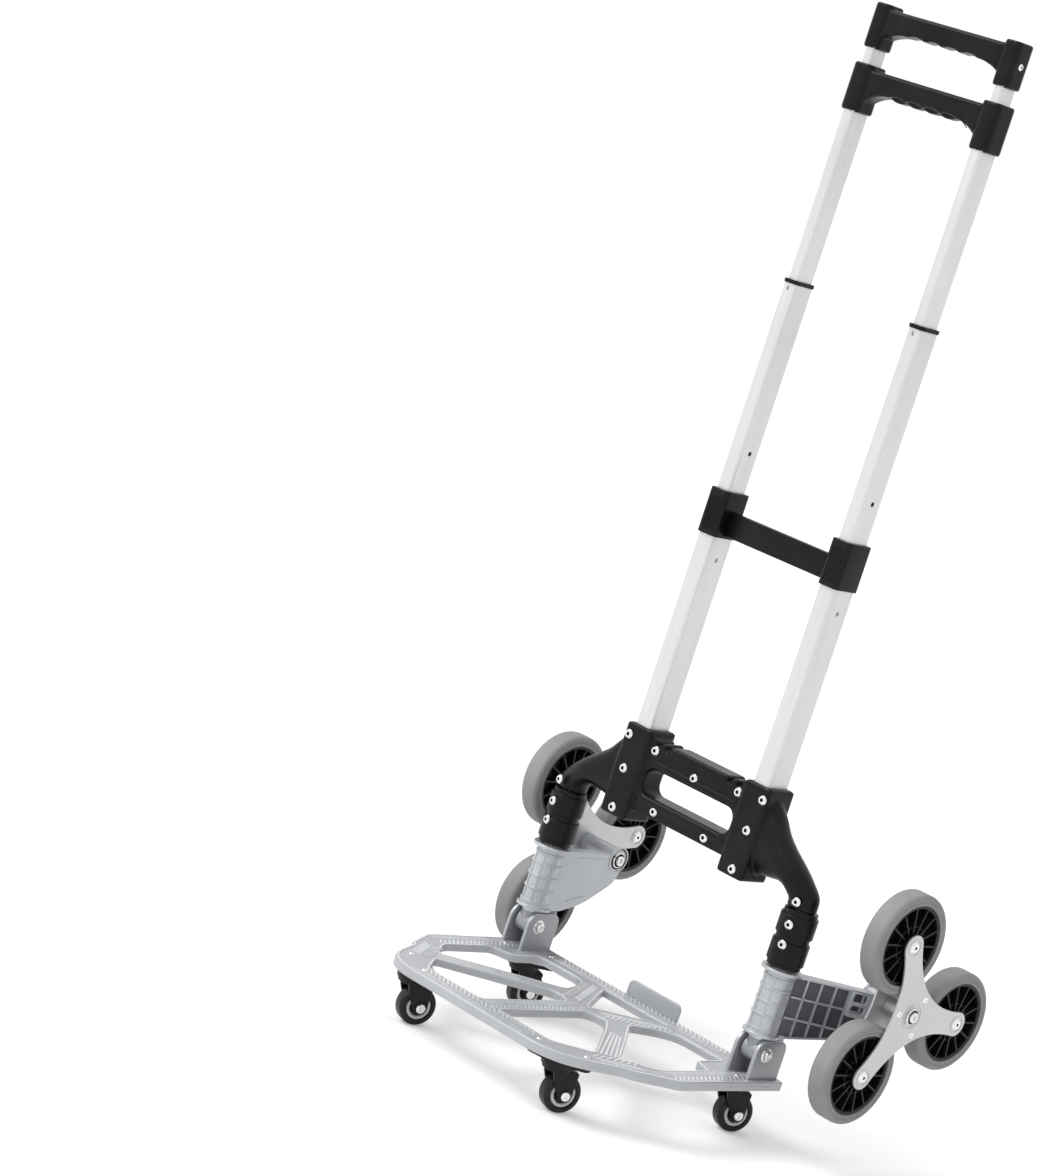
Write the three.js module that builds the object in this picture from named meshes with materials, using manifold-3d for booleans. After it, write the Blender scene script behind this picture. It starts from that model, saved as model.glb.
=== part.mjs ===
// Folding stair-climbing hand truck: telescoping handle, folding toe plate on four swivel
// casters, and two swinging arms that each carry a star of three wheels.
// Millimetres, X to the right, Y to the back, Z up. The floor is z = 0 and the handle tubes stand at
// y = 0 until the finished group is centred on its outline.
import * as THREE from 'three';
import { mergeVertices } from 'three/addons/utils/BufferGeometryUtils.js';
import Module from 'manifold-3d';

const wasm = await Module();
wasm.setup();

// ---------------------------------------------------------------- driving dimensions

const clearance = 0.3;            // gap kept between touching pieces

// handle
const tubeSpacing = 168;          // between the two handle tubes, centre to centre
const outerTube = { width: 21, depth: 32, wall: 1.5, corner: 3 };
const tubeWall = 1.2;             // wall of the three moving stages
const outerBottom = 262;
const collarBottom = 549;
const collarHeight = 45;
const middleTop = 819;
const middleOverlap = 74;         // length still inside the next tube when pulled out
const lowerGripBottom = 998;
const lowerGripHeight = 49;
const upperGripBottom = 1063;
const upperGripHeight = 46;
const topTubeLength = 262;
const capHeight = 4;
const collarWall = 2.4;
const crossBar = { height: 26, depth: 9 };
const gripBarDrop = 13;           // upper edge of a grip bar below the top of its legs
const gripWall = 4.5;
const gripCap = 5;                // closed top over the end of the tube
const gripBar = { height: 22, depth: 24 };
const leverSize = { length: 84, height: 9, depth: 12 };
const leverTravel = 4;

// carrying casting
const castingTop = 340;
const castingDepth = 40;
const socketWall = 7;
const bridgeDepth = 30;
const bridgeTop = 333;
const bridgeBottom = 256;
const tabBottom = 242;
const handSlot = { length: 124, height: 28, centre: 290 };
const notch = { width: 6, depth: 7, places: [44, 57] };

// legs, clamps and toe-plate hinge
const legSpacing = 332;
const legSetback = 5;             // leg axis behind the tube axis
const legDiameter = 22;
const legWall = 2;
const legTop = 254;
const elbowBottom = 240;
const clampDiameter = 36;
const clampBottom = 180;
const hingeHeight = 91;
const hingeBolt = { diameter: 8, headDiameter: 15, headHeight: 4.5, nutDiameter: 14, nutHeight: 5 };
const legEndRadius = 12;

// toe plate
const plateTop = 64;
const plateThickness = 4;
const plateHalfWidth = 187;
const plateRear = 41;             // rear rim behind the handle tubes
const plateFront = 238;           // front edge before the handle tubes
const ribDepth = 5;               // rim and ribs below the plate
const ribWidth = 4;
const ear = { thickness: 4, front: 16, rear: 30, corner: 12, gap: 2.5 };   // gap below the wheel arm
const cam = { radius: 37.5, thickness: 9 };
const flap = { width: 74, height: 18, thickness: 4, corner: 7 };

// wheel arms and stars
const armBottom = 108;
const armTop = 178;
const sleeveWall = 4;
const armReach = 92;              // hub axis behind the leg axis
const hubHeight = 171;            // hub axis above the floor
const armWall = 6;                // wall that runs from the leg to the hub boss
const armRib = { height: 4, width: 2.6, first: 34, pitch: 18 };
const armFlange = { height: 7, thickness: 3 };
const armEnd = 8;                 // end of the wall past the hub axis
const armTipDepth = 24;           // lower corner of the tip below the hub axis
const armTipRise = 5.5;           // upper corner of the tip above the hub axis
const armEdge = 1.5;              // wall below the top of the sleeve
const armTipGap = 3;              // between the wall and the star
const hubBossRadius = 11.5;
// outwards from the leg axis: middle of the wall at the leg and at the hub, inner end of the hub boss
const armPlace = { left: { leg: -12, hub: -12, boss: -15 }, right: { leg: 0, hub: 54, boss: 42 } };
const leftStarOffset = 35;        // inner star plate from the leg axis
const starPlate = 2.5;
const starRadius = 80;            // wheel axles from the hub axis
const starArmEnd = 13;
const starWaist = 8;              // draws the concave sides out from the hub
const starHubRadius = 21;
const wheel = { radius: 54, width: 24, hubRadius: 42 };
const sideGap = 1;                // between a wheel and a star plate
const wheelAxle = 8;
const axleHead = { radius: 7, height: 1.5 };
const hubBolt = { diameter: 10, headRadius: 9, headHeight: 4 };
const starTurn = { left: 8, right: -5 };   // degrees, first wheel above the rearward direction

// casters
const casters = [
  { place: 'front', x: 106, y: -208, plateAngle: 28 },
  { place: 'back', x: 153, y: 4, plateAngle: -47 },
];
const casterTurn = -20;           // degrees, the way the wheels trail at rest
const casterWheel = { radius: 20, width: 17, flats: 24 };   // a flat lies on the floor
const casterTrail = 12;
const mountPlate = { length: 66, width: 36, endWidth: 18, thickness: 3.5 };
const raceway = { radius: 17, gap: 0.4 };
const kingpinRadius = 3.5;
const fork = { wall: 3, top: 45, crown: 3, radius: 15, endRadius: 7 };
const casterAxle = { radius: 3, headRadius: 5, headHeight: 1.8 };

// ---------------------------------------------------------------- derived sizes

const tubeX = tubeSpacing / 2;
const legX = legSpacing / 2;
const stage = (outer, wall) => ({
  width: outer.width - 2 * (outer.wall + clearance),
  depth: outer.depth - 2 * (outer.wall + clearance),
  wall,
  corner: outer.corner + 0.6,
});
const middleTube = stage(outerTube, tubeWall);
const innerTube = stage(middleTube, tubeWall);
const topTube = stage(innerTube, tubeWall);
const collarTop = collarBottom + collarHeight;
const middleBottom = collarTop - middleOverlap;
const innerBottom = middleTop - middleOverlap;
const innerTop = lowerGripBottom + lowerGripHeight - gripCap;
const topTubeTop = upperGripBottom + upperGripHeight - gripCap - clearance;
const starPitch = 2 * starPlate + wheel.width + 2 * sideGap;
const starSpacing = 1.2;          // between the folded stars
const rightStarOffset = leftStarOffset + starPitch + 2 * axleHead.height + clearance + starSpacing;
const plateBottom = plateTop - plateThickness;
const earInner = legDiameter / 2 + clearance;
const earOuter = earInner + ear.thickness;
const earTop = armBottom - ear.gap;

// ---------------------------------------------------------------- materials

const paint = (color, roughness, metalness) =>
  new THREE.MeshStandardMaterial({ color, roughness, metalness });
const aluminium = paint(0xd4d6da, 0.35, 0.9);
const castAlloy = paint(0xaab0ba, 0.45, 0.75);
const plateAlloy = paint(0xb9bec6, 0.45, 0.75);
const blackPlastic = paint(0x17181a, 0.5, 0);
const blackSteel = paint(0x15161a, 0.45, 0.3);
const rubber = paint(0x8b8c8c, 0.85, 0);
const blackRubber = paint(0x1b1c1f, 0.7, 0);
const steel = paint(0xd0d2d6, 0.3, 1);

// ---------------------------------------------------------------- solids

function toSolid(geometry) {
  const bare = geometry.clone();
  bare.deleteAttribute('normal');
  bare.deleteAttribute('uv');
  const merged = mergeVertices(bare, 1e-4);
  return new wasm.Manifold(new wasm.Mesh({
    numProp: 3,
    vertProperties: new Float32Array(merged.attributes.position.array),
    triVerts: new Uint32Array(merged.index.array),
  }));
}

function toGeometry(body) {
  const mesh = body.getMesh();
  const geometry = new THREE.BufferGeometry();
  geometry.setAttribute('position', new THREE.BufferAttribute(new Float32Array(mesh.vertProperties), 3));
  geometry.setIndex(new THREE.BufferAttribute(new Uint32Array(mesh.triVerts), 1));
  geometry.computeVertexNormals();
  return geometry;
}

const join = (...bodies) => bodies.reduce((sum, body) => sum.add(body));
const cut = (body, ...tools) => tools.reduce((rest, tool) => rest.subtract(tool), body);

// box between two corners
function block(x0, x1, y0, y1, z0, z1) {
  const box = new THREE.BoxGeometry(x1 - x0, y1 - y0, z1 - z0);
  return toSolid(box.translate((x0 + x1) / 2, (y0 + y1) / 2, (z0 + z1) / 2));
}

// upright cylinder or cone between two heights
function post(x, y, z0, z1, radius, topRadius = radius, segments = 20) {
  const cylinder = new THREE.CylinderGeometry(topRadius, radius, z1 - z0, segments);
  return toSolid(cylinder.rotateX(Math.PI / 2).translate(x, y, (z0 + z1) / 2));
}

// cylinder along X
function rod(x0, x1, y, z, radius, segments = 16) {
  const cylinder = new THREE.CylinderGeometry(radius, radius, x1 - x0, segments);
  return toSolid(cylinder.rotateZ(Math.PI / 2).translate((x0 + x1) / 2, y, z));
}

// outline in the XZ plane, with its thickness along Y from y0 to y1
function plateXZ(shape, y0, y1, curveSegments = 6) {
  const extruded = new THREE.ExtrudeGeometry(shape, { depth: y1 - y0, bevelEnabled: false, curveSegments });
  return toSolid(extruded.rotateX(Math.PI / 2).translate(0, y1, 0));
}

// outline in the YZ plane, with its thickness along X from x0 to x1
function plateYZ(shape, x0, x1, curveSegments = 6) {
  const extruded = new THREE.ExtrudeGeometry(shape, { depth: x1 - x0, bevelEnabled: false, curveSegments });
  const turned = extruded.rotateX(Math.PI / 2).rotateZ(Math.PI / 2);
  return toSolid(turned.translate(x0, 0, 0));
}

// outline in the XY plane, extruded upwards from z0 to z1
function slab(shape, z0, z1, curveSegments = 6) {
  const extruded = new THREE.ExtrudeGeometry(shape, { depth: z1 - z0, bevelEnabled: false, curveSegments });
  return toSolid(extruded.translate(0, 0, z0));
}

// profile of [radius, along] pairs turned about the X axis
function turnedX(profile, segments) {
  const points = profile.map(([radius, along]) => new THREE.Vector2(radius, along));
  return toSolid(new THREE.LatheGeometry(points, segments).rotateZ(-Math.PI / 2));
}

function roundedRect(x0, x1, y0, y1, corner, path = new THREE.Shape()) {
  path.moveTo(x0 + corner, y0);
  path.lineTo(x1 - corner, y0);
  path.absarc(x1 - corner, y0 + corner, corner, -Math.PI / 2, 0, false);
  path.lineTo(x1, y1 - corner);
  path.absarc(x1 - corner, y1 - corner, corner, 0, Math.PI / 2, false);
  path.lineTo(x0 + corner, y1);
  path.absarc(x0 + corner, y1 - corner, corner, Math.PI / 2, Math.PI, false);
  path.lineTo(x0, y0 + corner);
  path.absarc(x0 + corner, y0 + corner, corner, Math.PI, 1.5 * Math.PI, false);
  return path;
}

function polygon(points) {
  const shape = new THREE.Shape();
  points.forEach(([x, y], i) => (i ? shape.lineTo(x, y) : shape.moveTo(x, y)));
  shape.closePath();
  return shape;
}

// polygon whose corners are rounded with a quadratic curve that starts a distance r from each corner
function softPolygon(points, r) {
  const shape = new THREE.Shape();
  points.forEach(([x, y, corner = r], i) => {
    const before = points[(i + points.length - 1) % points.length];
    const after = points[(i + 1) % points.length];
    const toward = ([px, py]) => {
      const length = Math.hypot(px - x, py - y);
      const step = Math.min(corner, length / 2.1);
      return [x + (px - x) * step / length, y + (py - y) * step / length];
    };
    const [ax, ay] = toward(before);
    const [bx, by] = toward(after);
    if (i) shape.lineTo(ax, ay);
    else shape.moveTo(ax, ay);
    shape.quadraticCurveTo(x, y, bx, by);
  });
  shape.closePath();
  return shape;
}

const mirrored = (points) => points.map(([x, y, ...rest]) => [-x, y, ...rest]).reverse();

// ---------------------------------------------------------------- scene graph

const truck = new THREE.Group();
const base = new THREE.Group();   // legs and wheel arms, with y = 0 at the leg axis
base.position.y = legSetback;
truck.add(base);
const sides = [['left', -1], ['right', 1]];

function add(name, body, material, parent = truck) {
  const mesh = new THREE.Mesh(toGeometry(body), material);
  mesh.name = name;
  parent.add(mesh);
  return mesh;
}

// ---------------------------------------------------------------- telescoping handle

function tubeBody(section, length) {
  const half = [section.width / 2, section.depth / 2];
  const shape = roundedRect(-half[0], half[0], -half[1], half[1], section.corner);
  const inner = half.map((size) => size - section.wall);
  shape.holes.push(roundedRect(-inner[0], inner[0], -inner[1], inner[1],
    Math.max(section.corner - section.wall, 1), new THREE.Path()));
  return slab(shape, 0, length, 3);
}

// solid that fills a tube section with a margin all round
function sectionBlock(section, margin, z0, z1, x = 0) {
  const [w, d] = [section.width / 2 + margin, section.depth / 2 + margin];
  return slab(roundedRect(x - w, x + w, -d, d, section.corner + margin), z0, z1, 3);
}

const lockHole = 2.5;             // radius
const sideHole = (z) => rod(0, outerTube.width, 0, z, lockHole, 8);
const frontHole = (z) => toSolid(new THREE.CylinderGeometry(lockHole, lockHole, outerTube.depth, 8)
  .translate(0, -outerTube.depth / 2, z));

function addTubes(name, section, bottom, top, holes = []) {
  for (const [side, sign] of sides) {
    const body = cut(tubeBody(section, top - bottom), ...holes);
    add(`${name}_${side}`, body, aluminium).position.set(sign * tubeX, 0, bottom);
  }
}

addTubes('outer_tube', outerTube, outerBottom, collarTop - clearance,
  [sideHole(collarBottom - outerBottom - 24)]);
addTubes('middle_tube', middleTube, middleBottom, middleTop, [
  sideHole(middleOverlap + 45), frontHole(middleTop - middleBottom - 8)]);
addTubes('inner_tube', innerTube, innerBottom, innerTop);
addTubes('top_tube', topTube, topTubeTop - topTubeLength, topTubeTop);

for (const [side, sign] of sides) {
  const lip = 1.2;
  const skirt = sectionBlock(middleTube, lip, 0, capHeight);
  const seat = sectionBlock(middleTube, clearance, -1, capHeight - 1);
  const bore = sectionBlock(innerTube, clearance, -1, capHeight + 1);
  add(`middle_cap_${side}`, cut(skirt, seat, bore), blackPlastic)
    .position.set(sign * tubeX, 0, middleTop + 1 + clearance - capHeight);
}

function collarBody() {
  const bar = block(-tubeX, tubeX, -crossBar.depth / 2, crossBar.depth / 2,
    collarBottom + 3, collarBottom + 3 + crossBar.height);
  const bodies = [];
  const bores = [];
  for (const [, sign] of sides) {
    bodies.push(sectionBlock(outerTube, collarWall, collarBottom, collarTop + 3, sign * tubeX));
    bores.push(sectionBlock(outerTube, clearance, collarBottom - 1, collarTop, sign * tubeX));
    bores.push(sectionBlock(middleTube, clearance, collarTop - 1, collarTop + 4, sign * tubeX));
  }
  return cut(join(bar, ...bodies), ...bores);
}
add('collar', collarBody(), blackPlastic);

// A grip: two square legs over the tube ends, and a bar with finger waves along its lower edge.
// `tube` is the section that ends in the legs, `through` the one that passes right through them.
function gripBody(bottom, height, tube, through, arch) {
  const [w, d] = [tube.width / 2 + gripWall, tube.depth / 2 + gripWall / 2];
  const top = bottom + height;
  const barTop = top - gripBarDrop / 3;
  const reach = tubeX - w + 2;
  const barBottom = top - gripBarDrop / 3 - gripBar.height;
  const outline = new THREE.Shape();
  outline.moveTo(-reach, barTop);
  outline.lineTo(-reach, barBottom - arch);
  outline.quadraticCurveTo(-reach * 0.82, barBottom, -reach * 0.6, barBottom);
  const waves = 4;
  for (let i = 0; i < waves; i++) {
    const x0 = reach * (-0.6 + 1.2 * i / waves);
    const x1 = reach * (-0.6 + 1.2 * (i + 1) / waves);
    outline.quadraticCurveTo((x0 + x1) / 2, barBottom + 4, x1, barBottom);
  }
  outline.quadraticCurveTo(reach * 0.82, barBottom, reach, barBottom - arch);
  outline.lineTo(reach, barTop);
  outline.closePath();
  const bar = plateXZ(outline, -gripBar.depth / 2, gripBar.depth / 2, 3);
  const legs = [];
  const bores = [];
  for (const [, sign] of sides) {
    const x = sign * tubeX;
    legs.push(slab(roundedRect(x - w, x + w, -d, d, 6), bottom, top, 3));
    bores.push(sectionBlock(tube, clearance, bottom - 1, top - gripCap + clearance, x));
    if (through) bores.push(sectionBlock(through, clearance, bottom, top + 1, x));
  }
  return cut(join(bar, ...legs), ...bores);
}

const leverSlot = (top) => block(-leverSize.length / 2 - clearance, leverSize.length / 2 + clearance,
  -leverSize.depth / 2 - clearance, leverSize.depth / 2 + clearance, top - 30, top);
const lowerBarBottom = lowerGripBottom + lowerGripHeight - gripBarDrop / 3 - gripBar.height;
const leverTop = lowerBarBottom + leverSize.height + clearance;
add('lower_grip', cut(gripBody(lowerGripBottom, lowerGripHeight, innerTube, topTube, 12),
  leverSlot(leverTop + leverTravel + clearance)), blackPlastic);
add('upper_grip', gripBody(upperGripBottom, upperGripHeight, topTube, null, 8), blackPlastic);

// release bar, squeezed up into the lower grip
function leverBody() {
  const half = leverSize.length / 2;
  const outline = new THREE.Shape();
  outline.moveTo(-half, leverTop);
  outline.lineTo(-half, leverTop - leverSize.height);
  const waves = 4;
  for (let i = 0; i < waves; i++) {
    const x0 = half * (-1 + 2 * i / waves);
    const x1 = half * (-1 + 2 * (i + 1) / waves);
    outline.quadraticCurveTo((x0 + x1) / 2, leverTop - leverSize.height - 5, x1, leverTop - leverSize.height);
  }
  outline.lineTo(half, leverTop);
  outline.closePath();
  return plateXZ(outline, -leverSize.depth / 2, leverSize.depth / 2, 3);
}
add('release_bar', leverBody(), blackPlastic);

// ---------------------------------------------------------------- carrying casting

const socketHalf = outerTube.width / 2 + socketWall;

// closed skin through elliptical sections, each given by its outer and inner point in the XZ plane,
// half its depth and the y of its middle
function loft(sections, sign, segments = 14) {
  const positions = [];
  const index = [];
  for (const [outer, inner, halfDepth, middle] of sections) {
    const centre = [(outer[0] + inner[0]) / 2, (outer[1] + inner[1]) / 2];
    for (let i = 0; i < segments; i++) {
      const angle = 2 * Math.PI * i / segments;
      positions.push(sign * (centre[0] + (outer[0] - centre[0]) * Math.cos(angle)),
        middle + halfDepth * Math.sin(angle), centre[1] + (outer[1] - centre[1]) * Math.cos(angle));
    }
  }
  const face = (a, b, c) => (sign > 0 ? index.push(a, b, c) : index.push(a, c, b));
  for (let ring = 0; ring < sections.length - 1; ring++) {
    for (let i = 0; i < segments; i++) {
      const a = ring * segments + i;
      const b = ring * segments + (i + 1) % segments;
      face(a, a + segments, b + segments);
      face(a, b + segments, b);
    }
  }
  const last = (sections.length - 1) * segments;
  for (let i = 1; i < segments - 1; i++) {
    face(0, i, i + 1);
    face(last, last + i + 1, last + i);
  }
  const geometry = new THREE.BufferGeometry();
  geometry.setAttribute('position', new THREE.BufferAttribute(new Float32Array(positions), 3));
  geometry.setIndex(index);
  return toSolid(geometry);
}

// shoulder from the tube socket, out and down to the leg
function shoulder(sign) {
  const root = tubeX + socketHalf;
  const half = castingDepth / 2 - 3;
  const lower = castingDepth / 2 - legSetback;
  const [near, far] = [legX - half, legX + lower];
  return loft([
    [[root - 7, castingTop - 6], [root - 7, tabBottom + 10], half, 0],
    [[root + 8, castingTop - 18], [root + 10, tabBottom + 12], half, 0],
    [[root + 20, castingTop - 34], [root + 24, tabBottom + 14], half, 0],
    [[root + 34, castingTop - 46], [near - 15, tabBottom + 15], half, 0],
    [[legX - 15, castingTop - 57], [near - 7, tabBottom + 13], half, 0.2 * legSetback],
    [[legX + 1, castingTop - 70], [near - 2, elbowBottom + 10], half - 1, 0.6 * legSetback],
    [[far - 2, elbowBottom + 17], [near, elbowBottom + 6], lower, legSetback],
    [[far, elbowBottom + 4], [near, elbowBottom + 2], lower, legSetback],
    [[far, elbowBottom], [near, elbowBottom], lower, legSetback],
  ], sign);
}

function castingBody() {
  const outline = roundedRect(-tubeX, tubeX, bridgeBottom, bridgeTop, 1);
  const slot = handSlot.length / 2;
  outline.holes.push(roundedRect(-slot, slot, handSlot.centre - handSlot.height / 2,
    handSlot.centre + handSlot.height / 2, 11, new THREE.Path()));
  const bridge = plateXZ(outline, -bridgeDepth / 2, bridgeDepth / 2, 3);
  const parts = [];
  const cuts = [];
  for (const [, sign] of sides) {
    const x = sign * tubeX;
    const socket = softPolygon([
      [x - socketHalf, tabBottom], [x + socketHalf, tabBottom],
      [x + socketHalf, castingTop], [x - socketHalf, castingTop]], 4);
    parts.push(plateXZ(socket, -castingDepth / 2, castingDepth / 2, 2), shoulder(sign));
    cuts.push(sectionBlock(outerTube, clearance, outerBottom - clearance, castingTop + 1, x));
    cuts.push(post(sign * legX, legSetback, elbowBottom - 1, legTop + clearance,
      legDiameter / 2 + clearance));
    for (const place of notch.places) {
      cuts.push(block(sign * place - notch.width / 2, sign * place + notch.width / 2,
        -castingDepth, castingDepth, bridgeTop - notch.depth, bridgeTop + 1));
    }
  }
  return cut(join(bridge, ...parts), ...cuts);
}
const casting = castingBody();
const halfCasting = (y0, y1) => casting.intersect(block(-legSpacing, legSpacing, y0, y1,
  tabBottom - 20, castingTop + 20));
add('casting_front', halfCasting(-castingDepth, -clearance / 2), blackPlastic);
add('casting_rear', halfCasting(clearance / 2, castingDepth), blackPlastic);

// ---------------------------------------------------------------- legs

function legBody(x) {
  const radius = legDiameter / 2;
  const plugTop = hingeHeight + 2 * legEndRadius;
  const tube = cut(post(x, 0, hingeHeight, legTop, radius),
    post(x, 0, plugTop, legTop + 1, radius - legWall));
  const end = rod(x - radius + 1, x + radius - 1, 0, hingeHeight, legEndRadius);
  return cut(join(tube, end), rod(x - legDiameter, x + legDiameter, 0, hingeHeight,
    hingeBolt.diameter / 2 + clearance, 16));
}

function clampBody(x) {
  const top = elbowBottom - clearance;
  const radius = clampDiameter / 2;
  const height = top - clampBottom;
  const bands = [[0.08, 0.46], [0.56, 0.92]].map(([low, high]) => (
    post(x, 0, clampBottom + low * height, clampBottom + high * height, radius + 1.5)));
  return cut(join(post(x, 0, clampBottom, top, radius - 0.5), ...bands),
    post(x, 0, clampBottom - 1, top + 1, legDiameter / 2 + clearance));
}

for (const [side, sign] of sides) {
  add(`leg_tube_${side}`, legBody(sign * legX), aluminium, base);
  add(`clamp_sleeve_${side}`, clampBody(sign * legX), blackPlastic, base);
}

// ---------------------------------------------------------------- toe plate

// bar of rectangular section between two points of the XY plane
function bar(from, to, width, z0, z1) {
  const length = Math.hypot(to[0] - from[0], to[1] - from[1]);
  const angle = Math.atan2(to[1] - from[1], to[0] - from[0]);
  const box = new THREE.BoxGeometry(length, width, z1 - z0).rotateZ(angle);
  return toSolid(box.translate((from[0] + to[0]) / 2, (from[1] + to[1]) / 2, (z0 + z1) / 2));
}

// right half of the outline and of the windows, from the centre line outwards
const w = plateHalfWidth;
const rimPoints = [
  [w, plateRear, 4], [w, -118, 8], [w - 24, -163, 5], [w - 31, -168, 5],
  [w - 51, -210, 14], [w - 66, -228, 14], [w - 90, -plateFront, 12],
];
const frontWindow = [[14, -207, 5], [90, -207, 6], [116, -172, 6], [56, -94, 20], [34, -70, 10],
  [14, -78, 10]];
const sideWindow = [
  [w - 54, -152, 8], [w - 29, -120, 10], [w - 29, -48, 6], [w - 54, -38, 8],
  [w - 54, 4, 10], [74, 4, 10], [60, -12, 10], [48, -46, 6], [84, -90, 20],
];
const centreWindow = [[-46, 14, 5], [46, 14, 5], [0, -60, 6]];

const ribLines = [
  [[0, 4 - plateFront], [0, -72]],
  [[128, -196], [18, -56]],
  [[18, -56], [58, 22]],
  [[14, -64], [84, -150]],
];

// lozenge with blunt ends
function mountOutline(centre, angle) {
  const half = mountPlate.length / 2;
  const wide = mountPlate.width / 2;
  const end = mountPlate.endWidth / 2;
  const turn = angle * Math.PI / 180;
  const points = [[half, -end], [half, end], [end, wide], [-end, wide], [-half, end], [-half, -end],
    [-end, -wide], [end, -wide]];
  return softPolygon(points.map(([x, y]) => [
    centre[0] + x * Math.cos(turn) - y * Math.sin(turn),
    centre[1] + x * Math.sin(turn) + y * Math.cos(turn)]), 7);
}

// side wall of the hinge; its front corner turns with the plate just below the wheel arm
function earBody(x0, x1) {
  const rear = legSetback + ear.rear;
  const shape = new THREE.Shape();
  shape.moveTo(legSetback - ear.front, plateBottom);
  shape.lineTo(legSetback - ear.front, hingeHeight);
  const rise = Math.asin((earTop - hingeHeight) / ear.front);
  shape.absarc(legSetback, hingeHeight, ear.front, Math.PI, Math.PI - rise, true);
  shape.lineTo(rear - ear.corner, earTop);
  shape.quadraticCurveTo(rear, earTop, rear, earTop - ear.corner);
  shape.lineTo(rear, plateBottom);
  shape.closePath();
  return plateYZ(shape, x0, x1, 4);
}

// stiffening wall behind the leg with a curved cam fin
function camBody(x) {
  const wallFront = legSetback + legEndRadius + 3;
  const lowest = -0.5;
  const highest = Math.asin((earTop - hingeHeight) / cam.radius);
  const fin = new THREE.Shape();
  fin.moveTo(wallFront, plateBottom);
  fin.lineTo(plateRear - 1, plateBottom);
  fin.lineTo(legSetback + cam.radius * Math.cos(lowest), hingeHeight + cam.radius * Math.sin(lowest));
  fin.absarc(legSetback, hingeHeight, cam.radius, lowest, highest, false);
  fin.lineTo(wallFront, earTop - 3);
  fin.closePath();
  return join(block(x - earInner - 1, x + earInner + 1, wallFront, wallFront + 4, plateBottom, earTop - 4),
    plateYZ(fin, x - cam.thickness / 2, x + cam.thickness / 2));
}

function toePlateBody() {
  const rim = [...rimPoints, ...mirrored(rimPoints)];
  const within = rim.map(([x, y, r]) => [x - Math.sign(x) * ribWidth, y - Math.sign(y) * ribWidth, r]);
  const windows = [frontWindow, mirrored(frontWindow), sideWindow, mirrored(sideWindow), centreWindow]
    .map((points) => slab(softPolygon(points, 6), plateBottom - ribDepth - 1, plateTop + 1, 2));
  const below = plateBottom - ribDepth;
  const pan = cut(slab(softPolygon(rim, 5), below, plateTop, 2),
    slab(softPolygon(within, 5), below - 1, plateBottom, 2));
  const ribs = [];
  for (const [, sign] of sides) {
    for (const [from, to] of ribLines) {
      if (from[0] === 0 && sign < 0) continue;
      ribs.push(bar([sign * from[0], from[1]], [sign * to[0], to[1]], ribWidth, below, plateBottom + 1));
    }
  }
  const solids = [];
  for (const [, sign] of sides) {
    const x = sign * legX;
    for (const { x: casterX, y, plateAngle } of casters) {
      solids.push(slab(mountOutline([sign * casterX, y], sign * plateAngle), below, plateBottom + 1, 1));
    }
    solids.push(earBody(x - earOuter, x - earInner), earBody(x + earInner, x + earOuter), camBody(x));
  }
  const back = roundedRect(-flap.width / 2, flap.width / 2, plateBottom, plateTop + flap.height, flap.corner);
  solids.push(plateXZ(back, plateRear - flap.thickness, plateRear, 3));
  const holes = sides.map(([, sign]) => rod(sign * legX - 2 * earOuter, sign * legX + 2 * earOuter,
    legSetback, hingeHeight, hingeBolt.diameter / 2 + clearance, 16));
  return cut(join(cut(join(pan, ...ribs), ...windows), ...solids), ...holes);
}
add('toe_plate', toePlateBody(), plateAlloy);

for (const [side, sign] of sides) {
  const x = sign * legX;
  const [inner, outer] = [x - earOuter - clearance, x + earOuter + clearance];
  add(`hinge_bolt_${side}`, join(
    rod(inner - 1, outer + 1, 0, hingeHeight, hingeBolt.diameter / 2, 16),
    rod(outer, outer + hingeBolt.headHeight, 0, hingeHeight, hingeBolt.headDiameter / 2, 16),
    rod(inner - hingeBolt.nutHeight, inner, 0, hingeHeight, hingeBolt.nutDiameter / 2, 6)), steel, base);
}

// ---------------------------------------------------------------- wheel arms

// distances n run outwards from the leg axis, so x = sign * (legX + n)
const outward = (sign) => (n) => sign * (legX + n);

function span(a, b) {
  return [Math.min(a, b), Math.max(a, b)];
}

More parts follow.
